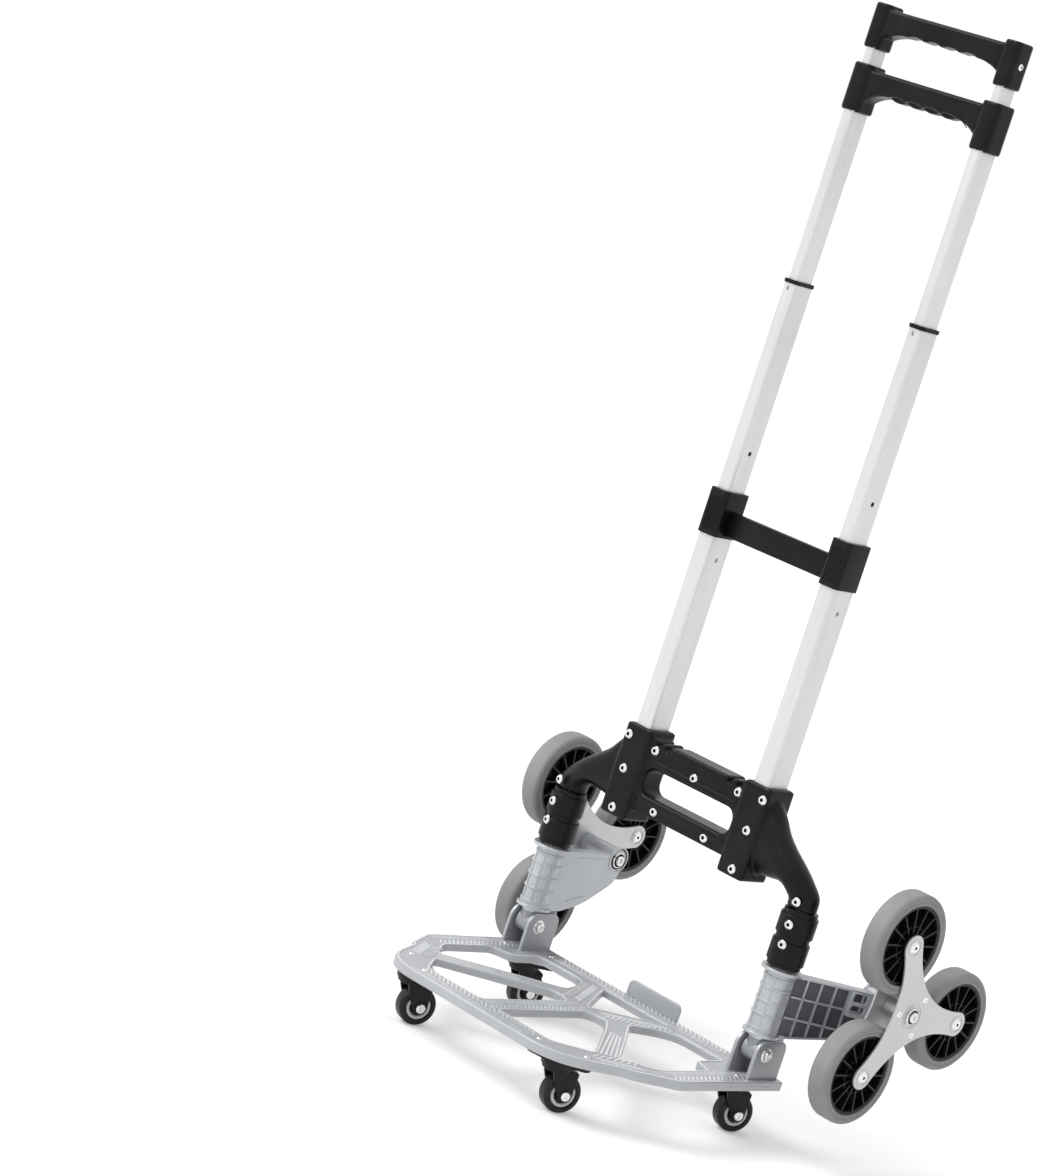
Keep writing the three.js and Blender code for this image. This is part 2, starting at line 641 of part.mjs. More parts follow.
function armBody(sign, starOffset, place) {
  const at = outward(sign);
  const x = sign * legX;
  const radius = legDiameter / 2 + clearance + sleeveWall;
  const flange = radius + 6;
  const sleeve = [
    post(x, 0, armBottom, armTop, radius),
    post(x, 0, armTop - 3.5, armTop, flange),
    post(x, 0, armBottom, armBottom + 3, radius + 3.5),
  ];
  const length = Math.hypot(armReach, place.hub - place.leg);
  const turn = Math.atan2(place.hub - place.leg, armReach) * 180 / Math.PI;
  const faceTop = armTop - armEdge;
  const faceBottom = armBottom + 1;
  const tip = length + armEnd;
  const tipTop = hubHeight + armTipRise;
  const topAt = (d) => faceTop + (tipTop - faceTop) * (d - 4) / (tip - 4);
  const face = softPolygon([
    [4, faceBottom], [4, faceTop], [tip, tipTop, 8], [tip, hubHeight - armTipDepth, 14],
    [length - 36, faceBottom + 9, 14], [24, faceBottom, 6]], 3);
  const ribMiddle = (armTop + armBottom) / 2;
  const outer = (height) => span(sign * (armWall / 2 - 1), sign * (armWall / 2 + height));
  const flangeEnds = [radius, tip - 8].map((d) => [d, topAt(d)]);
  const flangeFace = polygon([...flangeEnds,
    ...flangeEnds.map(([d, z]) => [d, z - armFlange.thickness]).reverse()]);
  const wall = [
    plateYZ(face, -armWall / 2, armWall / 2, 3),
    plateYZ(flangeFace, ...outer(armFlange.height)),
    block(...outer(armRib.height), radius, length - 6,
      ribMiddle - armRib.width / 2, ribMiddle + armRib.width / 2),
  ];
  for (let d = armRib.first; d < length - 8; d += armRib.pitch) {
    const low = armBottom + 5 + Math.max(0, d - armReach / 2) * 0.5;
    wall.push(block(...outer(armRib.height), d - armRib.width / 2, d + armRib.width / 2,
      low, topAt(d) - 1));
  }
  const web = join(...wall).rotate([0, 0, -sign * turn]).translate([at(place.leg), 0, 0]);
  const beyond = block(...span(at(starOffset - armTipGap), at(2 * armReach)), 0, 2 * armReach,
    0, 2 * armTop);
  const boss = rod(...span(at(place.boss), at(starOffset - clearance)), armReach, hubHeight, hubBossRadius);
  const bores = [
    post(x, 0, armBottom - 1, armTop + 1, legDiameter / 2 + clearance),
    rod(...span(at(place.boss - 1), at(starOffset + 1)), armReach, hubHeight,
      hubBolt.diameter / 2 + clearance, 16),
  ];
  return cut(join(...sleeve, cut(web, beyond), boss), ...bores);
}

// ---------------------------------------------------------------- stars

const starAngles = (turn) => [0, 1, 2].map((k) => (turn + 120 * k) * Math.PI / 180);
const wheelPlace = (angle) => [
  armReach + starRadius * Math.cos(angle), hubHeight + starRadius * Math.sin(angle)];

// three tapered arms with concave sides and round ends
function starShape(turn) {
  const shape = new THREE.Shape();
  const side = Math.PI / 2;
  const armStart = (angle) => {
    const [y, z] = wheelPlace(angle);
    return [y + starArmEnd * Math.cos(angle - side), z + starArmEnd * Math.sin(angle - side)];
  };
  const angles = starAngles(turn);
  shape.moveTo(...armStart(angles[0]));
  angles.forEach((angle, k) => {
    const between = angle + Math.PI / 3;
    shape.absarc(...wheelPlace(angle), starArmEnd, angle - side, angle + side, false);
    shape.quadraticCurveTo(
      armReach + starWaist * Math.cos(between), hubHeight + starWaist * Math.sin(between),
      ...armStart(angles[(k + 1) % angles.length]));
  });
  return shape;
}

function starPlateBody(sign, from, turn) {
  const at = outward(sign);
  const xs = span(at(from), at(from + starPlate));
  return join(plateYZ(starShape(turn), ...xs, 5), rod(...xs, armReach, hubHeight, starHubRadius));
}

function addStar(side, sign, offset, turn) {
  const at = outward(sign);
  const outerFace = offset + starPitch;
  const between = offset + starPlate;
  const hubHole = rod(...span(at(offset - 1), at(outerFace + 1)), armReach, hubHeight,
    hubBolt.diameter / 2 + clearance, 16);
  const axle = (angle, radius) => rod(...span(at(offset - clearance - 1), at(outerFace)),
    ...wheelPlace(angle), radius, 10);
  const heads = starAngles(turn).flatMap((angle) => [
    rod(...span(at(outerFace - 1), at(outerFace + axleHead.height)), ...wheelPlace(angle),
      axleHead.radius, 10),
    rod(...span(at(offset - clearance - axleHead.height), at(offset - clearance)), ...wheelPlace(angle),
      axleHead.radius, 10),
  ]);
  const spacer = rod(...span(at(between), at(outerFace - 1)), armReach, hubHeight, hubBossRadius);
  const axles = starAngles(turn).map((angle) => axle(angle, wheelAxle / 2));
  add(`star_outer_${side}`, cut(join(starPlateBody(sign, outerFace - starPlate, turn),
    cut(spacer, block(...span(at(between - 1), at(between + clearance)), 0, 2 * armReach, 0, 2 * hubHeight)),
    ...axles, ...heads), hubHole), castAlloy, base);
  const axleHoles = starAngles(turn).map((angle) => axle(angle, wheelAxle / 2 + clearance));
  add(`star_inner_${side}`, cut(starPlateBody(sign, offset, turn), hubHole, ...axleHoles), castAlloy, base);
  const bossInner = armPlace[side].boss - clearance;
  add(`hub_bolt_${side}`, join(
    rod(...span(at(bossInner - 1), at(outerFace + 1)), armReach, hubHeight, hubBolt.diameter / 2, 16),
    rod(...span(at(bossInner - hubBolt.headHeight), at(bossInner)), armReach, hubHeight,
      hubBolt.headRadius, 16),
    rod(...span(at(outerFace + clearance), at(outerFace + clearance + hubBolt.headHeight)), armReach,
      hubHeight, hubBolt.headRadius, 16)), steel, base);
  starAngles(turn).forEach((angle, k) => addWheel(`${side}_${k + 1}`, at(offset + starPitch / 2), angle));
}

function addWheel(name, x, angle) {
  const half = wheel.width / 2;
  const bore = wheelAxle / 2 + clearance;
  const boss = 11;
  const hubWeb = 5;
  const hub = turnedX([
    [bore, -half], [boss, -half], [boss + 2, -hubWeb], [wheel.hubRadius, 1.5 - half],
    [wheel.hubRadius, half - 1.5], [boss + 2, hubWeb], [boss, half], [bore, half], [bore, -half]], 18);
  const inner = wheel.hubRadius + clearance;
  const tyre = turnedX([
    [inner, 0.8 - half], [wheel.radius - 4, -half], [wheel.radius, 4.5 - half],
    [wheel.radius, half - 4.5], [wheel.radius - 4, half], [inner, half - 0.8],
    [inner, 0.8 - half]], 18);
  const place = [x, ...wheelPlace(angle)];
  add(`wheel_hub_${name}`, hub, blackPlastic, base).position.set(...place);
  add(`wheel_tyre_${name}`, tyre, rubber, base).position.set(...place);
}

for (const [side, sign] of sides) {
  const offset = sign > 0 ? rightStarOffset : leftStarOffset;
  add(`wheel_arm_${side}`, armBody(sign, offset, armPlace[side]), castAlloy, base);
  addStar(side, sign, offset, starTurn[side]);
}

// ---------------------------------------------------------------- casters

const mountTop = plateBottom - ribDepth - clearance;

function mountBody(angle) {
  const under = mountTop - mountPlate.thickness;
  const plate = slab(mountOutline([0, 0], angle), under, mountTop, 1);
  const cup = post(0, 0, fork.top + raceway.gap, under + 1, raceway.radius, raceway.radius + 1, 16);
  return cut(join(plate, cup), post(0, 0, 0, mountTop - 1.5, kingpinRadius + clearance, undefined, 10));
}

function forkBody() {
  const inner = casterWheel.width / 2 + 1;
  const crown = slab(softPolygon([
    [-inner - fork.wall, -11, 6], [inner + fork.wall, -11, 6], [inner + fork.wall, casterTrail + 8, 6],
    [-inner - fork.wall, casterTrail + 8, 6]], 6), fork.top - fork.crown, fork.top, 1);
  const side = new THREE.Shape();
  side.moveTo(-9, fork.top - 1);
  side.lineTo(casterTrail + 8, fork.top - 1);
  side.lineTo(casterTrail + fork.endRadius, casterWheel.radius);
  side.absarc(casterTrail, casterWheel.radius, fork.endRadius, 0, -0.75 * Math.PI, true);
  side.quadraticCurveTo(-4, casterWheel.radius + 8, -9, fork.top - 1);
  const walls = sides.map(([, sign]) => plateYZ(side, ...span(sign * inner, sign * (inner + fork.wall)), 4));
  const kingpin = post(0, 0, fork.top - 1, mountTop - 1.5 - clearance, kingpinRadius, undefined, 10);
  const hole = rod(-2 * inner, 2 * inner, casterTrail, casterWheel.radius, casterAxle.radius + clearance, 10);
  return cut(join(crown, post(0, 0, fork.top - fork.crown, fork.top, fork.radius, undefined, 16), ...walls,
    kingpin), hole);
}

function casterWheelBody() {
  const half = casterWheel.width / 2;
  const bore = casterAxle.radius + clearance;
  const radius = casterWheel.radius / Math.cos(Math.PI / casterWheel.flats);
  const shoulder = 3.5;
  const solid = turnedX([
    [bore, -half], [radius - shoulder, -half], [radius, shoulder - half], [radius, half - shoulder],
    [radius - shoulder, half], [bore, half], [bore, -half]], casterWheel.flats);
  return solid.rotate([180 / casterWheel.flats, 0, 0]);
}

for (const { place, x, y, plateAngle } of casters) {
  for (const [side, sign] of sides) {
    const name = `${place}_${side}`;
    const swivel = new THREE.Group();
    swivel.position.set(sign * x, y, 0);
    truck.add(swivel);
    add(`caster_mount_${name}`, mountBody(sign * plateAngle), blackSteel, swivel);
    const trailing = new THREE.Group();
    trailing.rotation.z = casterTurn * Math.PI / 180;
    swivel.add(trailing);
    add(`caster_fork_${name}`, forkBody(), blackSteel, trailing);
    add(`caster_wheel_${name}`, casterWheelBody(), blackRubber, trailing)
      .position.set(0, casterTrail, casterWheel.radius);
    const end = casterWheel.width / 2 + 1 + fork.wall + clearance;
    add(`caster_axle_${name}`, join(
      rod(-end - 1, end + 1, casterTrail, casterWheel.radius, casterAxle.radius, 10),
      rod(end, end + casterAxle.headHeight, casterTrail, casterWheel.radius, casterAxle.headRadius, 10),
      rod(-end - casterAxle.headHeight, -end, casterTrail, casterWheel.radius, casterAxle.headRadius, 10)),
    steel, trailing);
  }
}

// origin on the floor, below the middle of the outline
const bounds = new THREE.Box3().setFromObject(truck, true);
truck.position.set(-(bounds.min.x + bounds.max.x) / 2, -(bounds.min.y + bounds.max.y) / 2, 0);
truck.updateMatrixWorld(true);

export default truck;
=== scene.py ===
# Folding stair-climbing hand truck: finished surfaces, fasteners, tread and studio.
# Pieces are drawn in millimetres in the truck's own space (x right, y back, z up, handle tubes
# at y = 0, floor at z = 0) and are scaled into place when they are made.
from math import asin, atan2, cos, hypot, pi, radians, sin

import bmesh
import bpy
from mathutils import Matrix, Vector


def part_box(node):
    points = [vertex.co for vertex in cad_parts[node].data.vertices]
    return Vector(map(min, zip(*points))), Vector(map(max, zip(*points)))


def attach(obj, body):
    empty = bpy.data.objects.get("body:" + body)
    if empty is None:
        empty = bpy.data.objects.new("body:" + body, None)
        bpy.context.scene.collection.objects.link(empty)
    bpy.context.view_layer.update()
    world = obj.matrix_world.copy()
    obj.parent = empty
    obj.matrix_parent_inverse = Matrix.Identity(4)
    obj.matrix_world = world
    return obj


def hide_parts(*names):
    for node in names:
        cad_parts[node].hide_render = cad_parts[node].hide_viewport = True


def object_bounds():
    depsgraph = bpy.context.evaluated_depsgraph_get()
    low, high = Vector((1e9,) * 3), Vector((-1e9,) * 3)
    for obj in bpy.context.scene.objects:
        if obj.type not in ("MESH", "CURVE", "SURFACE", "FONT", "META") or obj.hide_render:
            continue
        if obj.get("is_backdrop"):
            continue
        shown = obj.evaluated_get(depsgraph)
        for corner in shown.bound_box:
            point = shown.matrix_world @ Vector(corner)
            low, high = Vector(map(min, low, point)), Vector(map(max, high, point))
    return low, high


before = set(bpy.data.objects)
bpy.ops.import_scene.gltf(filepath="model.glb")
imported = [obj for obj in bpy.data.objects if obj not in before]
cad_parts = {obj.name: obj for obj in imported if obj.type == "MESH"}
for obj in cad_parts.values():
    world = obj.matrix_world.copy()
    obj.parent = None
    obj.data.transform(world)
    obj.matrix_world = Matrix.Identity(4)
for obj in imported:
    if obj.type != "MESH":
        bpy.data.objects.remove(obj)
cadLow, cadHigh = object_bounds()

sides = [("left", -1), ("right", 1)]


def middle(node):
    low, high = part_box(node)
    return (low + high) / 2


origin = (middle("outer_tube_left") + middle("outer_tube_right")) / 2
origin.z = 0
truckToWorld = Matrix.Translation(origin) @ Matrix.Scale(0.001, 4)


def box(node):
    return [(corner - origin) * 1000 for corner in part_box(node)]


def spot(node):
    return (middle(node) - origin) * 1000


def turned(degrees, axis="Z"):
    return Matrix.Rotation(radians(degrees), 4, axis)


def addObject(name, data):
    thing = bpy.data.objects.new(name, data)
    bpy.context.scene.collection.objects.link(thing)
    return thing


tubeX = spot("outer_tube_right").x
legX, legY = spot("leg_tube_right").x, spot("leg_tube_right").y

# camera, from the middle of the handle tubes on the floor
view = {"lens": 110.08, "azimuth": 42.11, "elevation": 8.38, "roll": 17.88,
        "place": (2231.23, -2820.68, 972.08)}
camera = addObject("Camera", bpy.data.cameras.new("Camera"))
bpy.context.scene.camera = camera
camera.data.lens = view["lens"]
camera.matrix_world = (Matrix.Translation(truckToWorld @ Vector(view["place"])) @ turned(view["azimuth"])
                       @ turned(90 - view["elevation"], "X") @ turned(view["roll"]))


# node trees

class Field:
    def __init__(self, graph, socket):
        self.graph = graph
        self.socket = socket

    def combine(self, operation, *values):
        return self.graph.add("ShaderNodeMath", dict(enumerate(values)), {"operation": operation})

    def __add__(self, other):
        return self.combine("ADD", self, other)

    __radd__ = __add__

    def __sub__(self, other):
        return self.combine("SUBTRACT", self, other)

    def __rsub__(self, other):
        return self.combine("SUBTRACT", other, self)

    def __mul__(self, other):
        return self.combine("MULTIPLY", self, other)

    __rmul__ = __mul__

    def __truediv__(self, other):
        return self.combine("DIVIDE", self, other)

    def __lt__(self, other):
        return self.combine("LESS_THAN", self, other)

    def __gt__(self, other):
        return self.combine("GREATER_THAN", self, other)


class Graph:
    def __init__(self, tree):
        self.tree = tree

    def feed(self, socket, value):
        if isinstance(value, Field):
            self.tree.links.new(value.socket, socket)
        else:
            socket.default_value = value

    def add(self, kind, inputs=None, settings=None, output=0):
        node = self.tree.nodes.new(kind)
        for name, value in (settings or {}).items():
            setattr(node, name, value)
        for name, value in (inputs or {}).items():
            self.feed(node.inputs[name], value)
        return Field(self, node.outputs[output])

    def shape(self, kind, inputs=None, settings=None):
        return self.add("GeometryNode" + kind, inputs, settings)

    def vector(self, x=0.0, y=0.0, z=0.0):
        return self.add("ShaderNodeCombineXYZ", {"X": x, "Y": y, "Z": z})

    def limit(self, value, low, high, newLow=0.0, newHigh=1.0):
        return self.add("ShaderNodeMapRange", {0: value, 1: low, 2: high, 3: newLow, 4: newHigh})

    def blend(self, factor, first, second):
        return self.add("ShaderNodeMix", {0: factor, 6: first, 7: second}, {"data_type": "RGBA"}, 2)

    def grain(self, place, scale, stretch=(1, 1, 1)):
        spread = self.add("ShaderNodeMapping", {"Vector": place, "Scale": stretch})
        return self.add("ShaderNodeTexNoise", {"Vector": spread, "Scale": scale, "Detail": 3.0})

    def bump(self, height, strength):
        return self.add("ShaderNodeBump", {"Height": height, "Strength": strength, "Distance": 0.0001})

    def seen(self, *rays):
        path = self.tree.nodes.new("ShaderNodeLightPath")
        first, *others = (Field(self, path.outputs[f"Is {ray} Ray"]) for ray in rays)
        return sum(others, first)


# finishes

def gray(level, tint=(1, 1, 1)):
    return (*(level * part for part in tint), 1)


def finish(name, steady, surface):
    material = bpy.data.materials.new(name)
    material.use_nodes = True
    graph = Graph(material.node_tree)
    shader = material.node_tree.nodes["Principled BSDF"]
    place = graph.add("ShaderNodeTexCoord", output=3)
    for socket, value in {**steady, **surface(graph, place)}.items():
        graph.feed(shader.inputs[socket], value)
    return material


def metal(name, light, dark, scale, cloud, rough, spread, relief, metallic, stretch=(1, 1, 1)):
    def surface(graph, place):
        lines = graph.grain(place, scale, stretch)
        clouds = graph.grain(place, cloud)
        rub = graph.limit(graph.grain(place, cloud * 4), 0.5, 0.75)
        shade = graph.limit(lines * 0.6 + clouds * 0.4, 0.35, 0.65)
        return {"Base Color": graph.blend(shade, dark, light), "Normal": graph.bump(lines, relief),
                "Roughness": rough + shade * spread - rub * 0.04}
    return finish(name, {"Metallic": metallic, "Specular IOR Level": 0.5}, surface)


def plastic(name, light, dark, scale, cloud, rough, spread, relief, gloss=0.28):
    def surface(graph, place):
        pores = graph.add("ShaderNodeTexVoronoi", {"Vector": place, "Scale": scale})
        clouds = graph.grain(place, cloud)
        scuff = graph.limit(graph.grain(place, cloud * 9), 0.56, 0.7)
        return {"Base Color": graph.blend(graph.limit(clouds, 0.4, 0.7), dark, light),
                "Normal": graph.bump(pores, relief), "Roughness": rough + clouds * spread - scuff * 0.05}
    return finish(name, {"Metallic": 0.0, "Specular IOR Level": gloss}, surface)


silver, warm = (0.97, 0.985, 1.0), (1, 1, 0.99)
# the last of these tints is used only for the painted shade on the arms
cool, cold, paintedShadeTint = (0.96, 0.985, 1.02), (0.95, 0.98, 1.03), (0.93, 0.98, 1.07)

# after the name and the two grays: scales of grain and cloud, roughness and its spread, relief,
# then how metallic a metal is or how glossy a plastic is
finishes = {
    "tube": metal("satinTube", gray(0.78, silver), gray(0.68, silver), 900, 9, 0.30, 0.12, 0.12, 0.55,
                  (1, 1, 0.012)),
    "cast": metal("silverCasting", gray(0.60, (0.95, 0.98, 1.02)), gray(0.50, cold), 2200, 24, 0.34, 0.12,
                  0.25, 0.45),
    # painted shade: a dark copy of the casting for thin sheets on the arms' outer faces
    "paintedArmShade": metal("paintedShadeCasting", gray(0.13, paintedShadeTint), gray(0.08, paintedShadeTint), 2200, 24, 0.42, 0.12, 0.3, 0.45),
    "star": metal("starPlate", gray(0.66, silver), gray(0.58, silver), 1800, 14, 0.30, 0.10, 0.12, 0.5),
    # painted shade: a darker copy of the alloy for the ear faces, the cams and the leg ends
    "shade": metal("paintedShadeAlloy", gray(0.42, cool), gray(0.34, cold), 2000, 18, 0.36, 0.12, 0.25, 0.45),
    # painted highlight: a lighter copy of the plate alloy for the tops of the tread ribs
    "ridge": metal("paintedHighlightRidge", gray(0.88, silver), gray(0.76, silver), 2400, 30, 0.24, 0.10, 0.1, 0.4),
    "plate": metal("toePlateAlloy", gray(0.54, cool), gray(0.44, cold), 2000, 18, 0.36, 0.12, 0.25, 0.45),
    "bolt": metal("zincBolt", gray(0.86), gray(0.72), 3000, 60, 0.16, 0.08, 0.05, 0.95),
    "nylon": plastic("blackNylon", gray(0.010), gray(0.005), 1600, 22, 0.26, 0.14, 0.10, 0.17),
    "hub": plastic("hubNylon", gray(0.010), gray(0.005), 1400, 40, 0.38, 0.12, 0.10),
    "steel": plastic("blackCoating", gray(0.013), gray(0.007), 2600, 36, 0.22, 0.12, 0.12, 0.2),
    "tyre": plastic("grayTyre", gray(0.32, warm), gray(0.27, warm), 1500, 18, 0.58, 0.14, 0.18, 0.35),
    "tread": plastic("casterTread", gray(0.011), gray(0.006), 1800, 50, 0.30, 0.12, 0.08),
    "ring": plastic("casterRing", gray(0.74), gray(0.62), 1800, 60, 0.24, 0.08, 0.03),
    # painted shade for the inside of screw sockets and rivet holes
    "socket": plastic("paintedShadeSocket", gray(0.02), gray(0.012), 2000, 80, 0.5, 0.1, 0.05),
}
print("finishes made:", len(finishes))


# shapes; each gives a mesh in millimetres

# these two set a flat drawing upright: one spans y and z, the other x and z
def facingX(x=0.0):
    return Matrix(((0, 0, 1, x), (1, 0, 0, 0), (0, 1, 0, 0), (0, 0, 0, 1)))


def facingY(y=0.0):
    return Matrix(((1, 0, 0, 0), (0, 0, -1, y), (0, 1, 0, 0), (0, 0, 0, 1)))


def at(x, y, z):
    return Matrix.Translation((x, y, z))


flip = turned(180, "X")


def evaluated(thing):
    bpy.context.view_layer.update()
    graph = bpy.context.evaluated_depsgraph_get()
    mesh = bpy.data.meshes.new_from_object(thing.evaluated_get(graph), depsgraph=graph)
    bpy.data.objects.remove(thing)
    return mesh


def meshOf(work, mesh=None):
    mesh = mesh or bpy.data.meshes.new("shape")
    work.to_mesh(mesh)
    work.free()
    return mesh


def tidied(mesh, outward=True):
    work = bmesh.new()
    work.from_mesh(mesh)
    bmesh.ops.remove_doubles(work, verts=work.verts, dist=0.002)
    if outward:
        bmesh.ops.recalc_face_normals(work, faces=work.faces)
    return meshOf(work, mesh)


def joined(*meshes):
    work = bmesh.new()
    for mesh in meshes:
        work.from_mesh(mesh)
    return meshOf(work)


def placed(mesh, matrix):
    mesh.transform(matrix)
    if matrix.to_3x3().determinant() < 0:
        mesh.flip_normals()
    return mesh


def arc(x, y, radius, start, span, steps):
    angles = [start + span * k / steps for k in range(steps + 1)]
    return [(x + radius * cos(a), y + radius * sin(a)) for a in angles]


def ringOutline(x, y, radius, steps=24):
    return arc(x, y, radius, 0, 2 * pi, steps)[:-1]


def roundOutline(x0, x1, y0, y1, radius, steps=6):
    left, right, low, high = x0 + radius, x1 - radius, y0 + radius, y1 - radius
    points = []
    for quarter, (x, y) in enumerate([(right, low), (right, high), (left, high), (left, low)]):
        points += arc(x, y, radius, (quarter - 1) * pi / 2, pi / 2, steps)
    return points


def curveThrough(start, control, end, steps=8):
    return [tuple(start[i] * (1 - t) ** 2 + control[i] * 2 * t * (1 - t) + end[i] * t * t for i in (0, 1))
            for t in (k / steps for k in range(1, steps + 1))]


# scallops for the fingers along an edge
def waves(reach, count, bottom, rise):
    points = []
    for k in range(count):
        x0, x1 = (reach * (2 * (k + n) / count - 1) for n in (0, 1))
        points += curveThrough((x0, bottom), ((x0 + x1) / 2, bottom + rise), (x1, bottom))
    return points


# rounds each corner by its own third number, or else by the radius
def softOutline(corners, radius, steps=6):
    points = []
    for i, corner in enumerate(corners):
        here = Vector(corner[:2])
        reach = corner[2] if len(corner) > 2 else radius
        ends = []
        for other in (corners[i - 1], corners[(i + 1) % len(corners)]):
            step = Vector(other[:2]) - here
            ends.append(here + step * min(reach, step.length / 2.1) / step.length)
        for k in range(steps + 1):
            t = k / steps
            points.append(ends[0] * (1 - t) ** 2 + here * 2 * t * (1 - t) + ends[1] * t * t)
    return points


def windingArea(points):
    return sum(a[0] * b[1] - b[0] * a[1] for a, b in zip(points, [*points[1:], points[0]])) / 2


def slab(outline, holes, low, high, bevel=0.5, place=Matrix(), rounds=2):
    curve = bpy.data.curves.new("outline", "CURVE")
    curve.dimensions = "2D"
    curve.fill_mode = "BOTH"
    for index, points in enumerate([outline, *holes]):
        if (windingArea(points) > 0) == (index > 0):
            points = points[::-1]
        spline = curve.splines.new("POLY")
        spline.points.add(len(points) - 1)
        for knot, point in zip(spline.points, points):
            knot.co = (point[0], point[1], 0, 1)
        spline.use_cyclic_u = True
    curve.extrude = (high - low) / 2 - bevel
    curve.bevel_depth = bevel
    curve.bevel_resolution = rounds
    curve.offset = -bevel
    mesh = tidied(evaluated(addObject("outline", curve)))
    return placed(mesh, place @ at(0, 0, (low + high) / 2))


# a skin over rings of points, where a ring of one point makes a tip
def loft(rings, closed=False, capped=False):
    work = bmesh.new()
    rings = [[work.verts.new(point) for point in ring] for ring in rings]
    count = max(len(ring) for ring in rings)
    for one, two in zip(rings, [*rings[1:], rings[0]] if closed else rings[1:]):
        for k in range(count):
            n = (k + 1) % count
            corners = [one[k % len(one)], one[n % len(one)], two[n % len(two)], two[k % len(two)]]
            work.faces.new(list(dict.fromkeys(corners)))
    for ring in (rings[0], rings[-1]) if capped else ():
        work.faces.new(ring)
    bmesh.ops.recalc_face_normals(work, faces=work.faces)
    return meshOf(work)


def lathe(profile, segments=64, place=Matrix()):
    rings = [[(*point, along) for point in ringOutline(0, 0, radius, segments)] if radius else [(0, 0, along)]
             for radius, along in profile]
    return placed(loft(rings, profile[0][0] > 0 and profile[-1][0] > 0), place)


def pipe(inner, outer, low, high, segments, place=Matrix()):
    return lathe([(inner, low), (outer, low), (outer, high), (inner, high)], segments, place)


def bothEnds(profile):
    return [*profile, *((radius, -along) for radius, along in profile[::-1])]


def block(low, high, bevel=0.5, place=Matrix()):
    work = bmesh.new()
    bmesh.ops.create_cube(work, size=1)
    bmesh.ops.scale(work, vec=Vector(high) - Vector(low), verts=work.verts)
    bmesh.ops.translate(work, vec=(Vector(high) + Vector(low)) / 2, verts=work.verts)
    if bevel:
        bmesh.ops.bevel(work, geom=work.edges[:], offset=bevel, segments=2, profile=0.5, affect="EDGES")
    return placed(meshOf(work), place)


def carved(mesh, *cutters):
    body, tool = addObject("body", mesh), addObject("tool", joined(*cutters))
    cut = body.modifiers.new("cut", "BOOLEAN")
    cut.operation = "DIFFERENCE"
    cut.solver = "EXACT"
    cut.use_self = True
    cut.object = tool
    result = evaluated(body)
    bpy.data.objects.remove(tool)
    return result


# overlapping parts become one body with soft edges
def moulded(mesh, voxel, rounds):
    body = addObject("body", tidied(mesh, outward=False))
    remesh = body.modifiers.new("skin", "REMESH")
    remesh.mode = "VOXEL"
    remesh.voxel_size = voxel
    smooth = body.modifiers.new("soften", "SMOOTH")
    smooth.factor = 0.5
    smooth.iterations = rounds
    return evaluated(body)


def makePiece(name, mesh, finishName, body, stands=(), sharp=32):
    mesh.transform(truckToWorld)
    mesh.name = name
    if finishName:
        mesh.materials.clear()
        mesh.materials.append(finishes[finishName])
        mesh.polygons.foreach_set("material_index", [0] * len(mesh.polygons))
    mesh.shade_smooth()
    mesh.set_sharp_from_angle(angle=radians(sharp))
    piece = addObject(name, mesh)
    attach(piece, body)
    if stands:
        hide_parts(*stands)


# trees that repeat small shapes

kinds = {"Geometry": "NodeSocketGeometry", "Count": "NodeSocketInt", "Material": "NodeSocketMaterial",
         "Dark": "NodeSocketMaterial"}


def startTree(name, *labels):
    tree = bpy.data.node_groups.new(name, "GeometryNodeTree")
    for label in ("Geometry", *labels):
        kind = kinds.get(label, "NodeSocketFloat")
        tree.interface.new_socket(name=label, in_out="INPUT", socket_type=kind)
    tree.interface.new_socket(name="Geometry", in_out="OUTPUT", socket_type="NodeSocketGeometry")
    graph = Graph(tree)
    entry = tree.nodes.new("NodeGroupInput")
    return graph, [Field(graph, socket) for socket in entry.outputs if socket.name]


def endTree(graph, geometry, *paints):
    result = graph.shape("RealizeInstances", {"Geometry": geometry})
    for paint in paints:
        result = graph.shape("SetMaterial", {"Geometry": result, **paint})
    graph.feed(graph.tree.nodes.new("NodeGroupOutput").inputs[0], result)
    return graph.tree


# heads with a hexagon socket painted dark as shade, each turned the way its point faces
def screwHeadTree():
    graph, (points, radius, height, socket, bright, dark) = startTree(
        "ScrewHeads", "Radius", "Height", "Socket", "Material", "Dark")
    head = graph.shape("MeshCone", {"Vertices": 28, "Side Segments": 1, "Radius Top": radius * 0.72,
                                    "Radius Bottom": radius, "Depth": height})
    key = graph.shape("MeshCylinder", {"Vertices": 6, "Radius": socket, "Depth": height})
    raised = graph.shape("Transform", {"Geometry": key, "Translation": graph.vector(z=height * 0.8)})
    bored = graph.shape("MeshBoolean", {0: head, 1: raised}, {"operation": "DIFFERENCE", "solver": "EXACT"})
    place = graph.shape("InputPosition")
    x, y, z = (graph.add("ShaderNodeSeparateXYZ", {0: place}, output=k) for k in range(3))
    # faces inside the socket are marked and take the dark finish: painted shade in the recess
    sunk = (z < height * 0.98) * (x * x + y * y < socket * socket * 1.05)
    marked = graph.shape("StoreNamedAttribute", {"Geometry": bored, "Name": "sunk", "Value": sunk},
                         {"data_type": "FLOAT", "domain": "FACE"})
    facing = graph.shape("InputNamedAttribute", {"Name": "facing"}, {"data_type": "FLOAT_VECTOR"})
    turn = graph.add("FunctionNodeAlignRotationToVector", {"Vector": facing}, {"axis": "Z"})
    heads = graph.shape("InstanceOnPoints", {"Points": points, "Instance": marked, "Rotation": turn})
    inKey = graph.shape("InputNamedAttribute", {"Name": "sunk"}, {"data_type": "FLOAT"})
    return endTree(graph, heads, {"Material": bright}, {"Material": dark, "Selection": inKey > 0.5})


